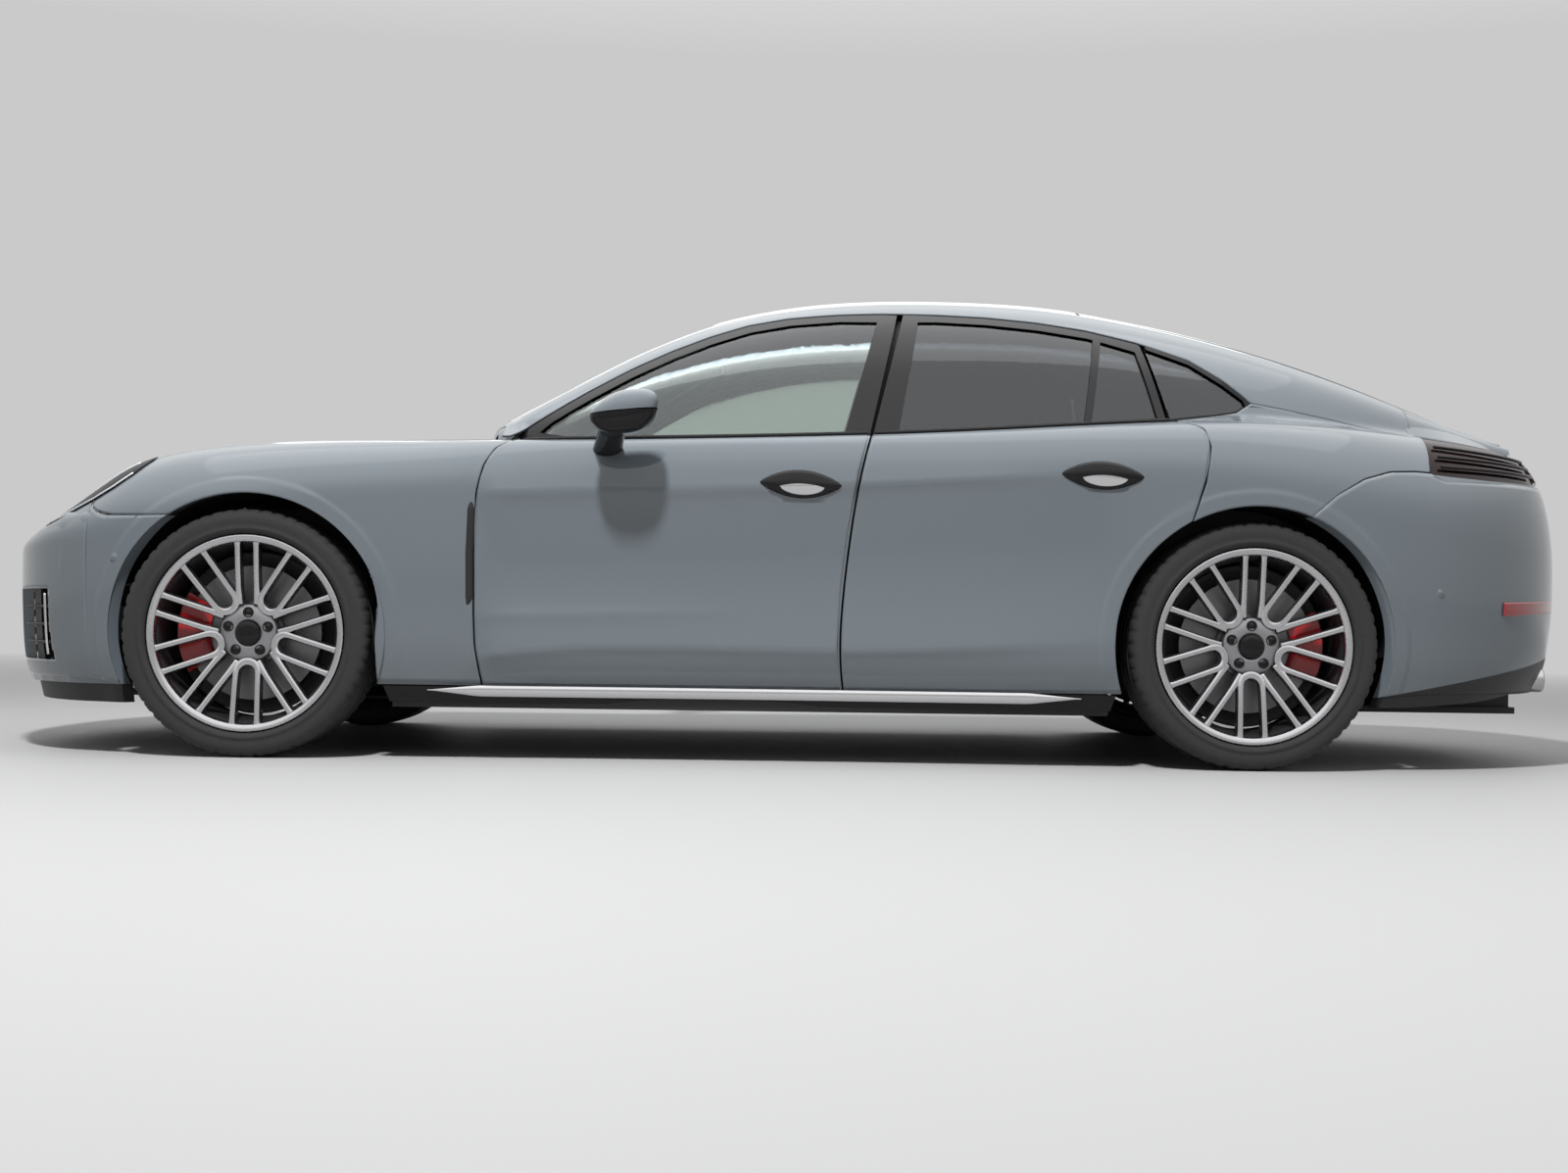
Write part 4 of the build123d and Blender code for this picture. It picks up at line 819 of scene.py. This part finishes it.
def ridge(path, width, angle):
    """Closed ridge along a path of (across, out) points: six points round each section, on the dished
    face."""
    d = np.gradient(path, axis=0)
    d /= np.linalg.norm(d, axis=1)[:, None]
    side = np.stack([d[:, 1], -d[:, 0]], -1)
    k = np.array([-1.5, -1.0, -0.82, 0.82, 1.0, 1.5])
    drop = np.array([-22.0, -2.2, 0, 0, -2.2, -22.0])
    flat = path[:, None] + side[:, None] * (k[None, :, None] * np.reshape(width, (-1, 1, 1)) / 2)
    r = np.hypot(path[:, 0], path[:, 1])
    y = FACE(r)[:, None] + drop[None, :]
    c, s = np.cos(angle), np.sin(angle)
    spoke = sheet(flat[..., 1] * c - flat[..., 0] * s, y, flat[..., 1] * s + flat[..., 0] * c)
    return capped(spoke), {"round_v": True, "marks": [1, 0, 0, 0, 1, 1]}


def lug_spoke(sign):
    """Straight spoke beside the line of a lug, from the U next to it out to the rim."""
    r = np.linspace(82, SPOKE_END, 30)
    return np.stack([sign * (LUG_HALF + 0.005 * (r - 82)), r], -1)


def u_spoke():
    """Two spokes joined by a half circle at the hub; they part a little towards the rim."""
    r = np.linspace(SPOKE_END, U_MIDDLE, 24)
    down = np.stack([-U_HALF - 4.0 * (r - U_MIDDLE) / (SPOKE_END - U_MIDDLE), r], -1)
    a = np.linspace(np.pi, 2 * np.pi, 26)[1:-1]
    root = np.stack([U_HALF * np.cos(a), U_MIDDLE + U_HALF * np.sin(a)], -1)
    return np.concatenate([down, root, (down * [-1, 1])[::-1]], 0)


def spoke_width(path):
    """Width of a spoke, with 5.5 mm more near the hub and a small flare at the rim."""
    r = np.hypot(path[:, 0], path[:, 1])
    return SPOKE_WIDTH + 5.5 * np.clip((132 - r) / 45, 0, 1) + 6.0 * np.clip((r - 248) / 20, 0, 1)**2


def lathe(profile, n):
    """Profile of (radius, y) turned about the wheel's axle."""
    r, y = np.array(profile, float).T
    a = np.linspace(0, 2 * np.pi, n, endpoint=False)[:, None]
    return sheet(r * np.cos(a), y, r * np.sin(a))


face_grids = []
for lug in lug_angles:
    for sign in (-1, 1):
        line = lug_spoke(sign)
        face_grids.append(ridge(line, spoke_width(line), lug))
    line = u_spoke()
    face_grids.append(ridge(line, spoke_width(line), lug + math.pi / LUGS))
hub_ring = lathe([(0.4, 40), (80, 40), (84, 74), (80, 80), (46, 83), (38, 83), (36, 78), (0.4, 78)], 64)
cap = lathe([(0.4, 76), (34.5, 78), (35, 86), (33, 88.5), (30, 88.2), (29, 89), (20, 90.2), (8, 91),
             (0.4, 91)], 48)
lip = lathe([(259, 92), (262, 112), (266, 117), (276, 121.5), (283, 121.5), (284, 118), (272, 108),
             (262, 90)], 120)
# The inner barrel is satin black: painted shade, standing in for the shadow inside the wheel.
painted_shade_barrel = lathe([(262, 100), (252, 84), (246, 40), (246, -70), (256, -100), (276, -114), (284, -121),
                (285, -114), (270, -104), (262, -70), (256, 0), (262, 80), (271, 104)], 96)
# Each lug hole is a gloss black plug: painted shade for the dark inside the recess.
painted_shade_hole = lathe([(0.4, 70), (15, 70), (15.5, 84.2), (14, 85), (12, 82.6), (9, 82.4), (8.4, 85), (0.4, 85.4)], 20)
face_grids += [(hub_ring, {"round_u": True, "mark": 4}), (cap, {"round_u": True, "mark": 2}),
               (lip, {"round_u": True, "round_v": True, "mark": 0}),
               (painted_shade_barrel, {"round_u": True, "round_v": True, "mark": 3})]
for a in lug_angles:
    place = LUG_R * np.array([math.cos(a), 0, math.sin(a)])
    face_grids.append((painted_shade_hole + place, {"round_u": True, "mark": 2}))
print(len(face_grids), "surfaces on a wheel face")

# %% [markdown]
# The tyre is turned from a rounded profile with a rim guard and four grooves round the tread. Shoulder blocks
# are cut by lowering the shoulder at even steps round the wheel, which is cheaper than cutting the mesh.

# %% Tyres and wheel pieces on their bodies
BLOCKS = 60
BLOCK_GAP = 0.17
BLOCK_DEPTH = 3.5
TREAD = [(286, 112), (287, 120), (293, 126), (299, 130.4), (304, 130.8), (307, 128.4), (316, 130.6),
         (330, 131.4), (340, 129.0), (347, 124.5), (352, 118.5), (355.4, 110), (357, 100), (357.6, 90),
         (357.7, 78), (350.5, 77), (350.5, 66), (357.9, 65), (358, 34), (350.5, 33), (350.5, 21), (358, 20)]
INSIDE = [(277, -114), (300, -108), (334, -96), (336, 96), (302, 108)]
loop = TREAD + [(r, -y) for r, y in TREAD[::-1]] + INSIDE
tyre = lathe(loop, 360)
radius = np.hypot(tyre[..., 0], tyre[..., 2])
turn = np.arctan2(tyre[..., 2], tyre[..., 0])
across = np.abs(tyre[..., 1])
shoulder = np.clip((radius - 344) / 5, 0, 1) * np.clip((across - 78) / 6, 0, 1)
cut = (np.mod(turn * BLOCKS / (2 * np.pi), 1.0) < BLOCK_GAP) * BLOCK_DEPTH * shoulder
tyre = tyre * (1 - (cut / radius)[..., None] * np.array([1.0, 0.0, 1.0]))


def at_wheel(tag, grids, y):
    """Grids about the origin, set y from the middle at one wheel and mirrored on the right."""
    place = np.array([FRONT_AXLE if tag[0] == "f" else REAR_AXLE, y, TYRE_R])
    there = [(points + place, opt) for points, opt in grids]
    return there if tag[1] == "l" else mirror(there)


CLOSED = {"round_u": True, "round_v": True}
FACE_FINISHES = [bright, smoke, black, satin, hub_grey]
for tag in WHEELS:
    faces = at_wheel(tag, face_grids, WHEEL_Y)
    alloy = piece("alloy_" + tag, faces, "wheel_" + tag, FACE_FINISHES)
    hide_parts("rim_" + tag)
    tread = piece("tread_" + tag, at_wheel(tag, [(tyre, CLOSED)], WHEEL_Y), "wheel_" + tag, rubber)
    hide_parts("tyre_" + tag)
print("tyre grid", tyre.shape)

# %% [markdown]
# Behind each disc a thin pressed shield closes the view through the spokes. Its satin black is partly the
# shield's own colour and partly painted shade, standing in for the shadow under the car seen through the
# wheel. It is turned from a flat ring with a rolled edge. At the front it rides on the knuckle, because it
# steers with the wheel.

# %% Brake shields
# The shield's satin black is partly painted shade for the shadow seen through the spokes.
shade_plate = lathe([(70, 0), (150, 0), (222, -4), (236, 6), (238, 4), (224, -7), (150, -3), (70, -3)], 72)
for tag in WHEELS:
    low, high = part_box("brake_disc_" + tag)
    inner = (low[1] if tag[1] == "l" else -high[1]) * 1000 - 5
    carrier = "knuckle_" + tag[1] if tag[0] == "f" else "body"
    piece("brake_shield_" + tag, at_wheel(tag, [(shade_plate, CLOSED)], inner), carrier, satin)
print("brake shields", round(inner), "mm out")

# %% [markdown]
# The bumpers are skinned as well: a flank patch between wheel arch and corner, then the surface that wraps
# round the corner. Openings are left where the intakes are, and the skins stop short of the lamps.

# %% Bumper skins
OPENINGS_LOW = 266
MOUTH_HALF, MOUTH_TOP = 434, 549
VENT_SPAN, VENT_TOP = (496, 804), 484
nose_low, nose_top = (NOSE_START, 224), (NOSE_START, 722)
nose_flank = patch([(1895, 224), nose_low], [(1787, 690), (1985, 690), (2013, 701), nose_top],
                   arc(FRONT_AXLE, -22.0, 56.3, ARCH_R + 1, 40), [nose_low, nose_top], 40, 40)
t = np.linspace(0, 1, 121)[:, None]
top = np.interp(t, [0, 0.07, 0.15, 0.22, 0.28], [756, 731, 704, 688, 677])
top = np.where(t > 0.27, NOSE_Z(t) - 1.5, top)
rows = np.concatenate([np.linspace(0, 48, 7), np.linspace(58, 258, 12), np.linspace(270, 323, 8)])
z = np.concatenate([222 + rows, np.linspace(556, 640, 12)])[None, :]
z = np.concatenate([z + 0 * t, 640 + (top - 640) * np.linspace(0.08, 1, 12)[None, :]], 1)
nose_wrap = wrap(t, z, True) + [LIFT, LIFT, 0]


def nose_keep(c):
    """Faces outside the middle mouth and the side vents."""
    y, z = np.abs(c[:, 1]), c[:, 2]
    mouth = (y < MOUTH_HALF) & (z < MOUTH_TOP)
    vent = (y > VENT_SPAN[0]) & (y < VENT_SPAN[1]) & (z < VENT_TOP)
    return (z <= OPENINGS_LOW) | ~(mouth | vent)


both("nose_skin", [(flank(nose_flank), {"out": OUT_L}), (nose_wrap, {"out": (1, 1, 0), "keep": nose_keep})],
     "body", paint, 4.0)
tail_low, tail_top = (TAIL_START, 224), (TAIL_START, 865)
tail_flank = patch([(-1710, 224), tail_low], moved(SPLIT, 0, -3),
                   arc(REAR_AXLE, 201.0, 112.2, ARCH_R + 1, 40), [tail_low, tail_top], 40, 50)
t = np.linspace(0, 0.62, 90)[1:, None]
z = 224 + (865 - 19 * np.clip(t / 0.03, 0, 1) - 224) * np.linspace(0, 1, 50)[None, :]
tail_wrap = wrap(t, z, False) + [-LIFT, LIFT, 0]
tail = np.concatenate([flank(tail_flank), tail_wrap], 0)
both("tail_skin", [(tail, {"out": (-0.5, 1, 0)})], "body", tail_paint, 4.0)
t = np.linspace(0, 0.47, 60)[:, None]
x = np.linspace(-1856, -2185, 60)[:, None]
y = rail_y(x) - 33
inner = sheet(x, y, roof_z(x, y) + LIFT)
outer = sheet(TAIL_X(t) + 3, TAIL_Y(t) - 2, TAIL_Z(t) + 1)
u = np.linspace(0, 1, 12)[None, :, None]
both("tail_shelf", [(inner * (1 - u) + outer * u, {"out": (0, 0.3, 1)})], "body", paint, 4.0)
print("bumper skins", nose_wrap.shape, tail.shape)

# %% [markdown]
# Two round pipes end in the black valance on each side. A ring profile is turned once and laid along X, and
# each copy ends a little behind the bumper face that the wrap formula gives at its own place.

# %% Tail pipes
PIPE_Z = 262
PIPE_PROUD = 12
pipe = lathe([(0.4, 150), (36, 150), (37, 4), (36, 0), (34, 0), (33, 4), (32, 110), (0.4, 110)], 40)
pipe = pipe[..., [1, 0, 2]]
t = np.linspace(0, 1, 400)
face = wrap(t, PIPE_Z, False)
pipes = []
for y in (425, 525):
    end = np.interp(-y, -face[:, 1], face[:, 0]) - PIPE_PROUD
    pipes.append((pipe + [end, y, PIPE_Z], {"round_u": True}))
tips = both("tail_pipe", pipes, "body", bright)
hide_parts("exhaust_tips")
print("tail pipes end at", round(float(end)), "mm")

# %% [markdown]
# Each side intake has three slats and an upright bright blade at its outer edge. The slats are bars along the
# nose surface, set a little inwards and flattened.

# %% Side intakes
t = np.linspace(0, 1, 400)
vent_y = wrap(t, 375, True)[:, 1]
ts = np.interp(-np.linspace(792, 512, 40), -vent_y, t)
slats = []
for z in (322, 375, 428):
    slats.append(bar(wrap(ts, z, True) + [-16.0, -8.0, 0], 9.0, 12, 0.5))
both("vent_slats", slats, "body", satin)
z = np.linspace(286, 466, 24)
edge = np.interp(-790.0, -vent_y, t)
both("vent_blade", [bar(wrap(edge, z, True) + [1.0, 1.0, 0], 5.0, 12)], "body", silver)
print("three slats and a blade in each side intake")

# %% [markdown]
# Small trim on the flank: the black strip under the windows, the vent slot ahead of the door, the bright
# strip on the skirt, the handles with their finger bowls, the parking sensors and the rear reflectors. All
# are laid on the body formulas, so that they follow the panels.


# %% Flank trim
SKIRT = (1044, -842)
HANDLE_HALF = 119.0
HANDLE_HIGH = 42.0
HANDLE_CROWN = 15.0
HANDLE_SLOPE = 0.035
BOWL_HALF = 64.0
for tag, doors, x in (("front", FRONT_DOORS, np.linspace(806, -222, 80)),
                      ("rear", REAR_DOORS, np.linspace(-240, -1104, 70))):
    strip = sheet(x, canopy_y(x, CREST_Z(x) + 7) + 5, CREST_Z(x) + 6)
    both("belt_strip_" + tag, [bar(strip, 8.0)], doors, black)
slot_z = np.linspace(768, 424, 40)
shut = np.array(FRONT_SHUT[::-1])
slot_x = np.interp(slot_z, shut[:, 1], shut[:, 0]) + 13
slot_r = 14.0 * np.clip(np.sin(np.linspace(0.1, np.pi - 0.1, 40)) * 2.2, 0, 1)
slot_x = slot_x + 26 * np.clip((470 - slot_z) / 46, 0, 1)**2
slot = sheet(slot_x, flank_y(slot_x, slot_z) - 9.0, slot_z)
both("wing_vent", [bar(slot, slot_r, 12)], "body", satin)
x = np.linspace(*SKIRT, 110)[:, None]
size = np.clip(np.minimum(SKIRT[0] - x, x - SKIRT[1]) / 150, 0.08, 1)
out = np.array([[-3.0, 5.0, 8.0, 7.0, 1.0, -8.0]])
down = np.array([[219.0, 215.0, 206.0, 194.0, 184.0, 182.0]])
z = 201 + (down - 201) * size
y = side_y(x, 224) + out * size
both("skirt_blade", [(sheet(x, y, z), {"out": OUT_L})], "body", silver, 4.0)


def handle(cx, cz):
    """Pointed oval whose half height falls as a cosine of its length, crowned; the finger bowl lies on it."""
    u = np.linspace(-1, 1, 41)[:, None]
    v = np.linspace(-1, 1, 17)[None, :]
    h = HANDLE_HIGH * np.cos(u * np.pi / 2)**0.72
    x = cx + HANDLE_HALF * u
    z = cz + HANDLE_SLOPE * HANDLE_HALF * u + h * v
    crown = HANDLE_CROWN * np.clip(1 - v**2, 0, 1)**0.5 * np.cos(u * np.pi / 2)**0.4
    rim = sheet(x, flank_y(x, z) - 1.5 + crown, z)
    w = np.linspace(-1, 1, 33)[:, None]
    q = np.linspace(0, 1, 11)[None, :]
    arch = np.clip(1 - w**2, 0, 1)
    bx = cx - 4 + BOWL_HALF * w
    bz = cz - 9 - 22 * arch**0.6 * (1 - q) + 9 * arch * q + HANDLE_SLOPE * BOWL_HALF * w
    share = np.clip((bz - cz - HANDLE_SLOPE * (bx - cx)) / HANDLE_HIGH, -1, 1)
    by = flank_y(bx, bz) + 0.6 + HANDLE_CROWN * np.sqrt(1 - share**2)
    return rim, sheet(bx, by, bz)


for tag, doors, cx, cz in (("front", FRONT_DOORS, -26, 808), ("rear", REAR_DOORS, -890, 842)):
    rim, bowl = handle(cx, cz)
    both(tag + "_handle", [(rim, {"out": OUT_L})], doors, black)
    both(tag + "_handle_bowl", [(bowl, {"out": OUT_L})], doors, silver)
t = np.linspace(0, 1, 200)
tail_x = wrap(t, 480, False)[:, 0]
ts = np.interp(-np.linspace(-2084, -2330, 40), -tail_x, t)[:, None]
u = np.linspace(0, 1, 9)[None, :]
share = (ts - ts[0]) / (ts[-1] - ts[0])
z = 455 + 16 * share + (40 - 6 * share) * u
strip = wrap(ts, z, False) + [-5.0, 5.0, 0]
both("reflector", [(strip, {"out": (-0.5, 1, 0)})], "body", lens_red, 2.0)
dot = lathe([(12.5, 0.2), (11.5, 1.6), (10.2, 1.6), (9.8, 0.9), (9.2, 1.6), (0.4, 2.0)], 24)
for tag, x, z in (("front_sensor", 1944.0, 572.0), ("rear_sensor", -1868.0, 520.0)):
    grid = dot + [x, float(flank_y(x, z)), z]
    both(tag, [(grid, {"out": OUT_L, "round_u": True})], "body", paint)
print("flank trim ready")

# %% [markdown]
# The door mirror is a rounded shell on a short foot: painted above, gloss black below. It is a
# super-ellipsoid, sheared so that its nose is lower than its tail, split into two pieces at its waist.

# %% Door mirrors
low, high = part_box("mirror_l")
MIRROR_Y = (float(low[1]) * 1000 + 84, float(high[1]) * 1000 - 1)
MIRROR_AT = (474.0, 994.0)
MIRROR_HALF = (95.0, 61.0)


def power(c, e):
    """Power that keeps the sign."""
    return np.sign(c) * np.abs(c)**e


def shell(b0, b1, n):
    """Super-ellipsoid band between two latitudes."""
    a = np.linspace(0, 2 * np.pi, 64, endpoint=False)[:, None]
    b = np.linspace(b0, b1, n)[None, :]
    ex = power(np.cos(a), 0.72) * power(np.cos(b), 0.6)
    ey = power(np.sin(a), 0.72) * power(np.cos(b), 0.6)
    ez = power(np.sin(b), 0.85) * (1 - 0.5 * np.clip(ex, 0, 1)**2)
    x = MIRROR_AT[0] + MIRROR_HALF[0] * ex - 14 * ez
    y = (MIRROR_Y[0] + MIRROR_Y[1]) / 2 + (MIRROR_Y[1] - MIRROR_Y[0]) / 2 * ey
    z = MIRROR_AT[1] + MIRROR_HALF[1] * ez - 0.10 * (x - MIRROR_AT[0])
    return sheet(x, y, z)


cap_pair = both("mirror_cap", [(shell(0.02, np.pi / 2, 20), {"round_u": True})], FRONT_DOORS, paint)
bowl = shell(-np.pi / 2, -0.01, 20)
both("mirror_bowl", [(bowl, {"round_u": True})], FRONT_DOORS, black)
s = np.linspace(0, 1, 12)
foot = sheet(540 - 35 * s, 866 + (MIRROR_Y[0] + 52 - 866) * s, 880 + 72 * s**0.7)
both("mirror_foot", [bar(foot, 44 - 6 * s, 20, 0.62)], FRONT_DOORS, black)
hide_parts("mirror_l")
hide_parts("mirror_r")
print("mirror from", MIRROR_Y, "mm")

# %% [markdown]
# The lamps are smoked lenses that follow the body surface. Slim bright strips edge the headlamp, and three
# dark red bars run round the tail lamp. A low specular level keeps the lens from mirroring the pale studio.


# %% Lamps
def lamp_lens(n, lift):
    """Headlamp surface: the flank ahead of the wing's edge, then round the nose, between two edge curves."""
    u = np.linspace(0, 1, n)[None, :]
    x = np.linspace(1872, 2030, 16)[:, None]
    low = np.interp(x, [1867, 1912, 1971, 2031], [864, 814, 770, 737])
    z = low + (CREST_Z(x) - 4 - low) * u
    a = sheet(x, side_y(x, z), z)
    t = np.linspace(0.03, 0.27, 16)[:, None]
    low = np.interp(t, [0, 0.07, 0.15, 0.22, 0.28], [733, 708, 684, 670, 664])
    z = low + (NOSE_Z(t) - 4 - low) * u
    return np.concatenate([a, wrap(t, z, True)], 0) + np.array([0.55, 0.6, 0.6]) * lift


both("headlamp_lens", [(lamp_lens(14, 5.0), {"out": (1, 1, 1)})], "body", lamp_black, 3.0)
bars = [bar(lamp_lens(14, 5.5)[4:-3, k], 3.0) for k in (1, 11)]
both("headlamp_bars", bars, "body", glow)
LAMP_LOW = 862.0
t = np.linspace(0.03, 0.47, 40)
bars = []
for share in (0.22, 0.5, 0.78):
    z = LAMP_LOW + (TAIL_Z(t) - 12 - LAMP_LOW) * share
    bars.append(bar(wrap(t, z, False) + [-2.0, 3.0, 0], 5.0))
both("tail_lamp_bars", bars, "body", lens_dark)
print("lamps ready")

# %% [markdown]
# Inside, dark leather seats and a pale roof lining show through the glass. A seat pad is a crowned
# closed form: a super-ellipsoid whose outline is soft and whose middle carries sewn channels. A dark lining
# covers the open back of the quarter panels in the boot.


# %% Cabin
def pad(middle, size, lean, channels):
    """Super-ellipsoid pad, leaned back about Y; the sewn channels are shallow waves over its length."""
    a = np.linspace(0, 2 * np.pi, 72, endpoint=False)[:, None]
    b = np.linspace(-np.pi / 2 + 0.02, np.pi / 2 - 0.02, 41)[None, :]
    level = power(np.cos(b), 0.35)
    p = sheet(level * power(np.cos(a), 0.4), level * power(np.sin(a), 0.4), power(np.sin(b), 0.55))
    wave = 0.045 * np.abs(np.sin(p[..., 0] * np.pi * channels / 2))**0.5 * (np.abs(p[..., 1]) < 0.62)
    p[..., 2] *= 0.93 + wave + 0.07 * np.cos(p[..., 0] * np.pi / 2) * np.cos(p[..., 1] * np.pi / 2)
    p = p * np.array(size) / 2
    c, s = math.cos(math.radians(lean)), math.sin(math.radians(lean))
    x, z = p[..., 0] * c - p[..., 2] * s, p[..., 0] * s + p[..., 2] * c
    return sheet(x, p[..., 1], z) + middle


def seat(name, y, pads, node):
    """The pads of one seat; the first of them takes the place of the plain solid."""
    for part, middle, size, lean, channels in pads:
        shape = pad((middle[0], y, middle[1]), size, lean, channels)
        obj = piece(name + "_" + part, [(shape, {"round_u": True})], "body", hide)
    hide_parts(node)


FRONT_PADS = [("base", (170, 385), (540, 460, 130), 4, 5), ("back", (-170, 665), (600, 450, 120), 107, 6),
              ("head", (-272, 1066), (150, 240, 80), 104, 0)]
REAR_PADS = [("base", (-590, 400), (420, 450, 120), 4, 4), ("back", (-858, 660), (520, 400, 95), 102, 5),
             ("head", (-908, 995), (120, 220, 70), 102, 0)]
for row, y, pads in (("front", 370, FRONT_PADS), ("rear", 335, REAR_PADS)):
    seat(row + "_seat_l", y, pads, row + "_seats")
    seat(row + "_seat_r", -y, pads, row + "_seats")
x = np.linspace(235, -860, 40)[:, None]
y = np.linspace(-1, 1, 31)[None, :] * (rail_y(x) - 60)
lining = sheet(x, y, roof_z(x, y) - 42)
piece("roof_lining", [(lining, {"out": (0, 0, -1)})], "body", pale)
x = np.linspace(-1130, -2080, 40)[:, None]
wall_y = 640 - 90 * np.clip((-1700 - x) / 380, 0, 1)**2
z = np.linspace(330, 862, 16)[None, :]
side = sheet(x, wall_y, z)
u = np.linspace(0, 1, 8)[None, :]
reach = np.minimum(side_y(x, 866) - 60, 880)
shelf = sheet(x, wall_y + (np.maximum(reach, wall_y + 5) - wall_y) * u, 862 + 4 * u)
both("boot_lining", [(np.concatenate([side, shelf[:, 1:]], 1), {"out": (0, -1, 0.5)})], "body", trim)
print("cabin ready")

# %% [markdown]
# The camera stands low and square to the left side, about six and a half metres from the middle of the car.
# It is rolled by less than a degree, as in the photograph, and a small shift of the lens sets the horizon.

# %% Camera
CAMERA_AT = (0.017, 6.455, 0.424)
CAMERA_ROLL = math.radians(0.78)
scene = bpy.context.scene
scene.view_settings.view_transform = "Standard"
lens = bpy.data.cameras.new("camera")
lens.lens = 44.1
lens.sensor_width = 36.0
lens.shift_y = 0.0197
camera = bpy.data.objects.new("camera", lens)
scene.collection.objects.link(camera)
level = Euler((math.pi / 2, 0, math.pi)).to_matrix().to_4x4()
camera.matrix_world = Matrix.Translation(CAMERA_AT) @ level @ Matrix.Rotation(CAMERA_ROLL, 4, "Z")
scene.camera = camera
print("camera at", CAMERA_AT)

# %% [markdown]
# Lacquer shows every lamp, so the lamps are chosen for their reflections. A wide one overhead and one behind
# may be mirrored. The small key, which lights the flank and casts the shadow, and the fill may not.


# %% Studio lamps
def softbox(name, place, target, size, watts, mirrored=True):
    """A rectangular area light aimed at a point; mirrored lets the paint reflect its shape."""
    lamp = bpy.data.lights.new(name, "AREA")
    lamp.shape = "RECTANGLE"
    lamp.size, lamp.size_y = size
    lamp.energy = watts
    obj = bpy.data.objects.new(name, lamp)
    obj.location = place
    obj.visible_glossy = mirrored
    obj.rotation_euler = (Vector(target) - Vector(place)).to_track_quat("-Z", "Y").to_euler()
    scene.collection.objects.link(obj)


softbox("overhead", (0.0, 0.6, 4.6), (0.0, 0.6, 0.0), (7.0, 3.6), 60)
softbox("key", (0.9, 4.6, 6.4), (0.0, 0.8, 0.6), (0.5, 0.5), 520, False)
softbox("fill", (-4.5, 4.5, 2.4), (-0.5, 0.5, 0.6), (3.0, 2.0), 15, False)
softbox("back", (0.0, -5.5, 3.6), (0.0, 0.0, 0.8), (7.0, 2.0), 40)
print(len(bpy.data.lights), "studio lamps")

# %% [markdown]
# A weak grey world lights the shadows. The camera, mirrors and glass see a backdrop in its place, which grows
# brighter with height, so that the upper panels have something pale to reflect.

# %% Backdrop
BACKDROP_GREY = 0.59
world = bpy.data.worlds.new("studio")
scene.world = world
world.use_nodes = True
tree = world.node_tree
sky = tree.nodes["Background"]
sky.inputs["Color"].default_value = (0.80, 0.81, 0.83, 1.0)
sky.inputs["Strength"].default_value = 0.16
backdrop = tree.nodes.new("ShaderNodeBackground")
backdrop.inputs["Color"].default_value = (BACKDROP_GREY, BACKDROP_GREY, BACKDROP_GREY, 1.0)
height = Tone(tree, tree.nodes.new("ShaderNodeTexCoord").outputs["Generated"]).parts()[2]
rise = tree.nodes.new("ShaderNodeMapRange")
for name, value in (("From Min", 0.28), ("From Max", 0.60), ("To Min", 1.0), ("To Max", 2.4)):
    rise.inputs[name].default_value = value
tree.links.new(height.socket, rise.inputs["Value"])
tree.links.new(rise.outputs[0], backdrop.inputs["Strength"])
rays = tree.nodes.new("ShaderNodeLightPath")
kinds = ("Is Camera Ray", "Is Glossy Ray", "Is Transmission Ray")
seen, mirrored, through = (Tone(tree, rays.outputs[kind]) for kind in kinds)
shown = seen.math("MAXIMUM", mirrored.math("MAXIMUM", through))
blend(tree, shown, sky, backdrop, "World Output")
print("backdrop grey", BACKDROP_GREY)

# %% [markdown]
# The floor is a pale disc that fades out beyond five metres, so that no edge shows. Light that bounces finds
# it darker than the camera does, which keeps the lower doors from washing out.

# %% Floor
FLOOR_GREY = (0.56, 0.56, 0.56)
BOUNCE_GREY = (0.28, 0.28, 0.28)
FADE_START = 5.0
FADE_RATE = 0.12
ground = Finish("studio_floor", FLOOR_GREY, 0.6)
x, y, z = ground.spot()
r = (x * x + y * y).math("SQRT")
bounce = Tone(ground.tree, ground.tree.nodes.new("ShaderNodeLightPath").outputs["Is Diffuse Ray"])
ground.feed(ground.shader, Base_Color=ground.mix(bounce, FLOOR_GREY, BOUNCE_GREY))
far = ((r - FADE_START) * FADE_RATE).math("MAXIMUM", 0.0).math("MINIMUM", 1.0)
clear = ground.tree.nodes.new("ShaderNodeBsdfTransparent")
blend(ground.tree, far, ground.shader, clear, "Material Output")
a = np.linspace(0, 2 * np.pi, 96, endpoint=False)[:, None]
d = np.array([[0.001, 2.0, 6.0, 14.0]])
disc = sheet(d * np.cos(a), d * np.sin(a), 0.0)
mesh = bpy.data.meshes.new("floor")
mesh.from_pydata(disc.reshape(-1, 3).tolist(), [], quads(96, 4, round_u=True)[:, ::-1].tolist())
mesh.materials.append(ground.mat)
floor = bpy.data.objects.new("floor", mesh)
scene.collection.objects.link(floor)
floor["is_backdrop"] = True
print("floor of", len(mesh.polygons), "faces")

# %% Sizes and end
low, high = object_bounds()
print("visual box", [round(v, 3) for v in low], [round(v, 3) for v in high])
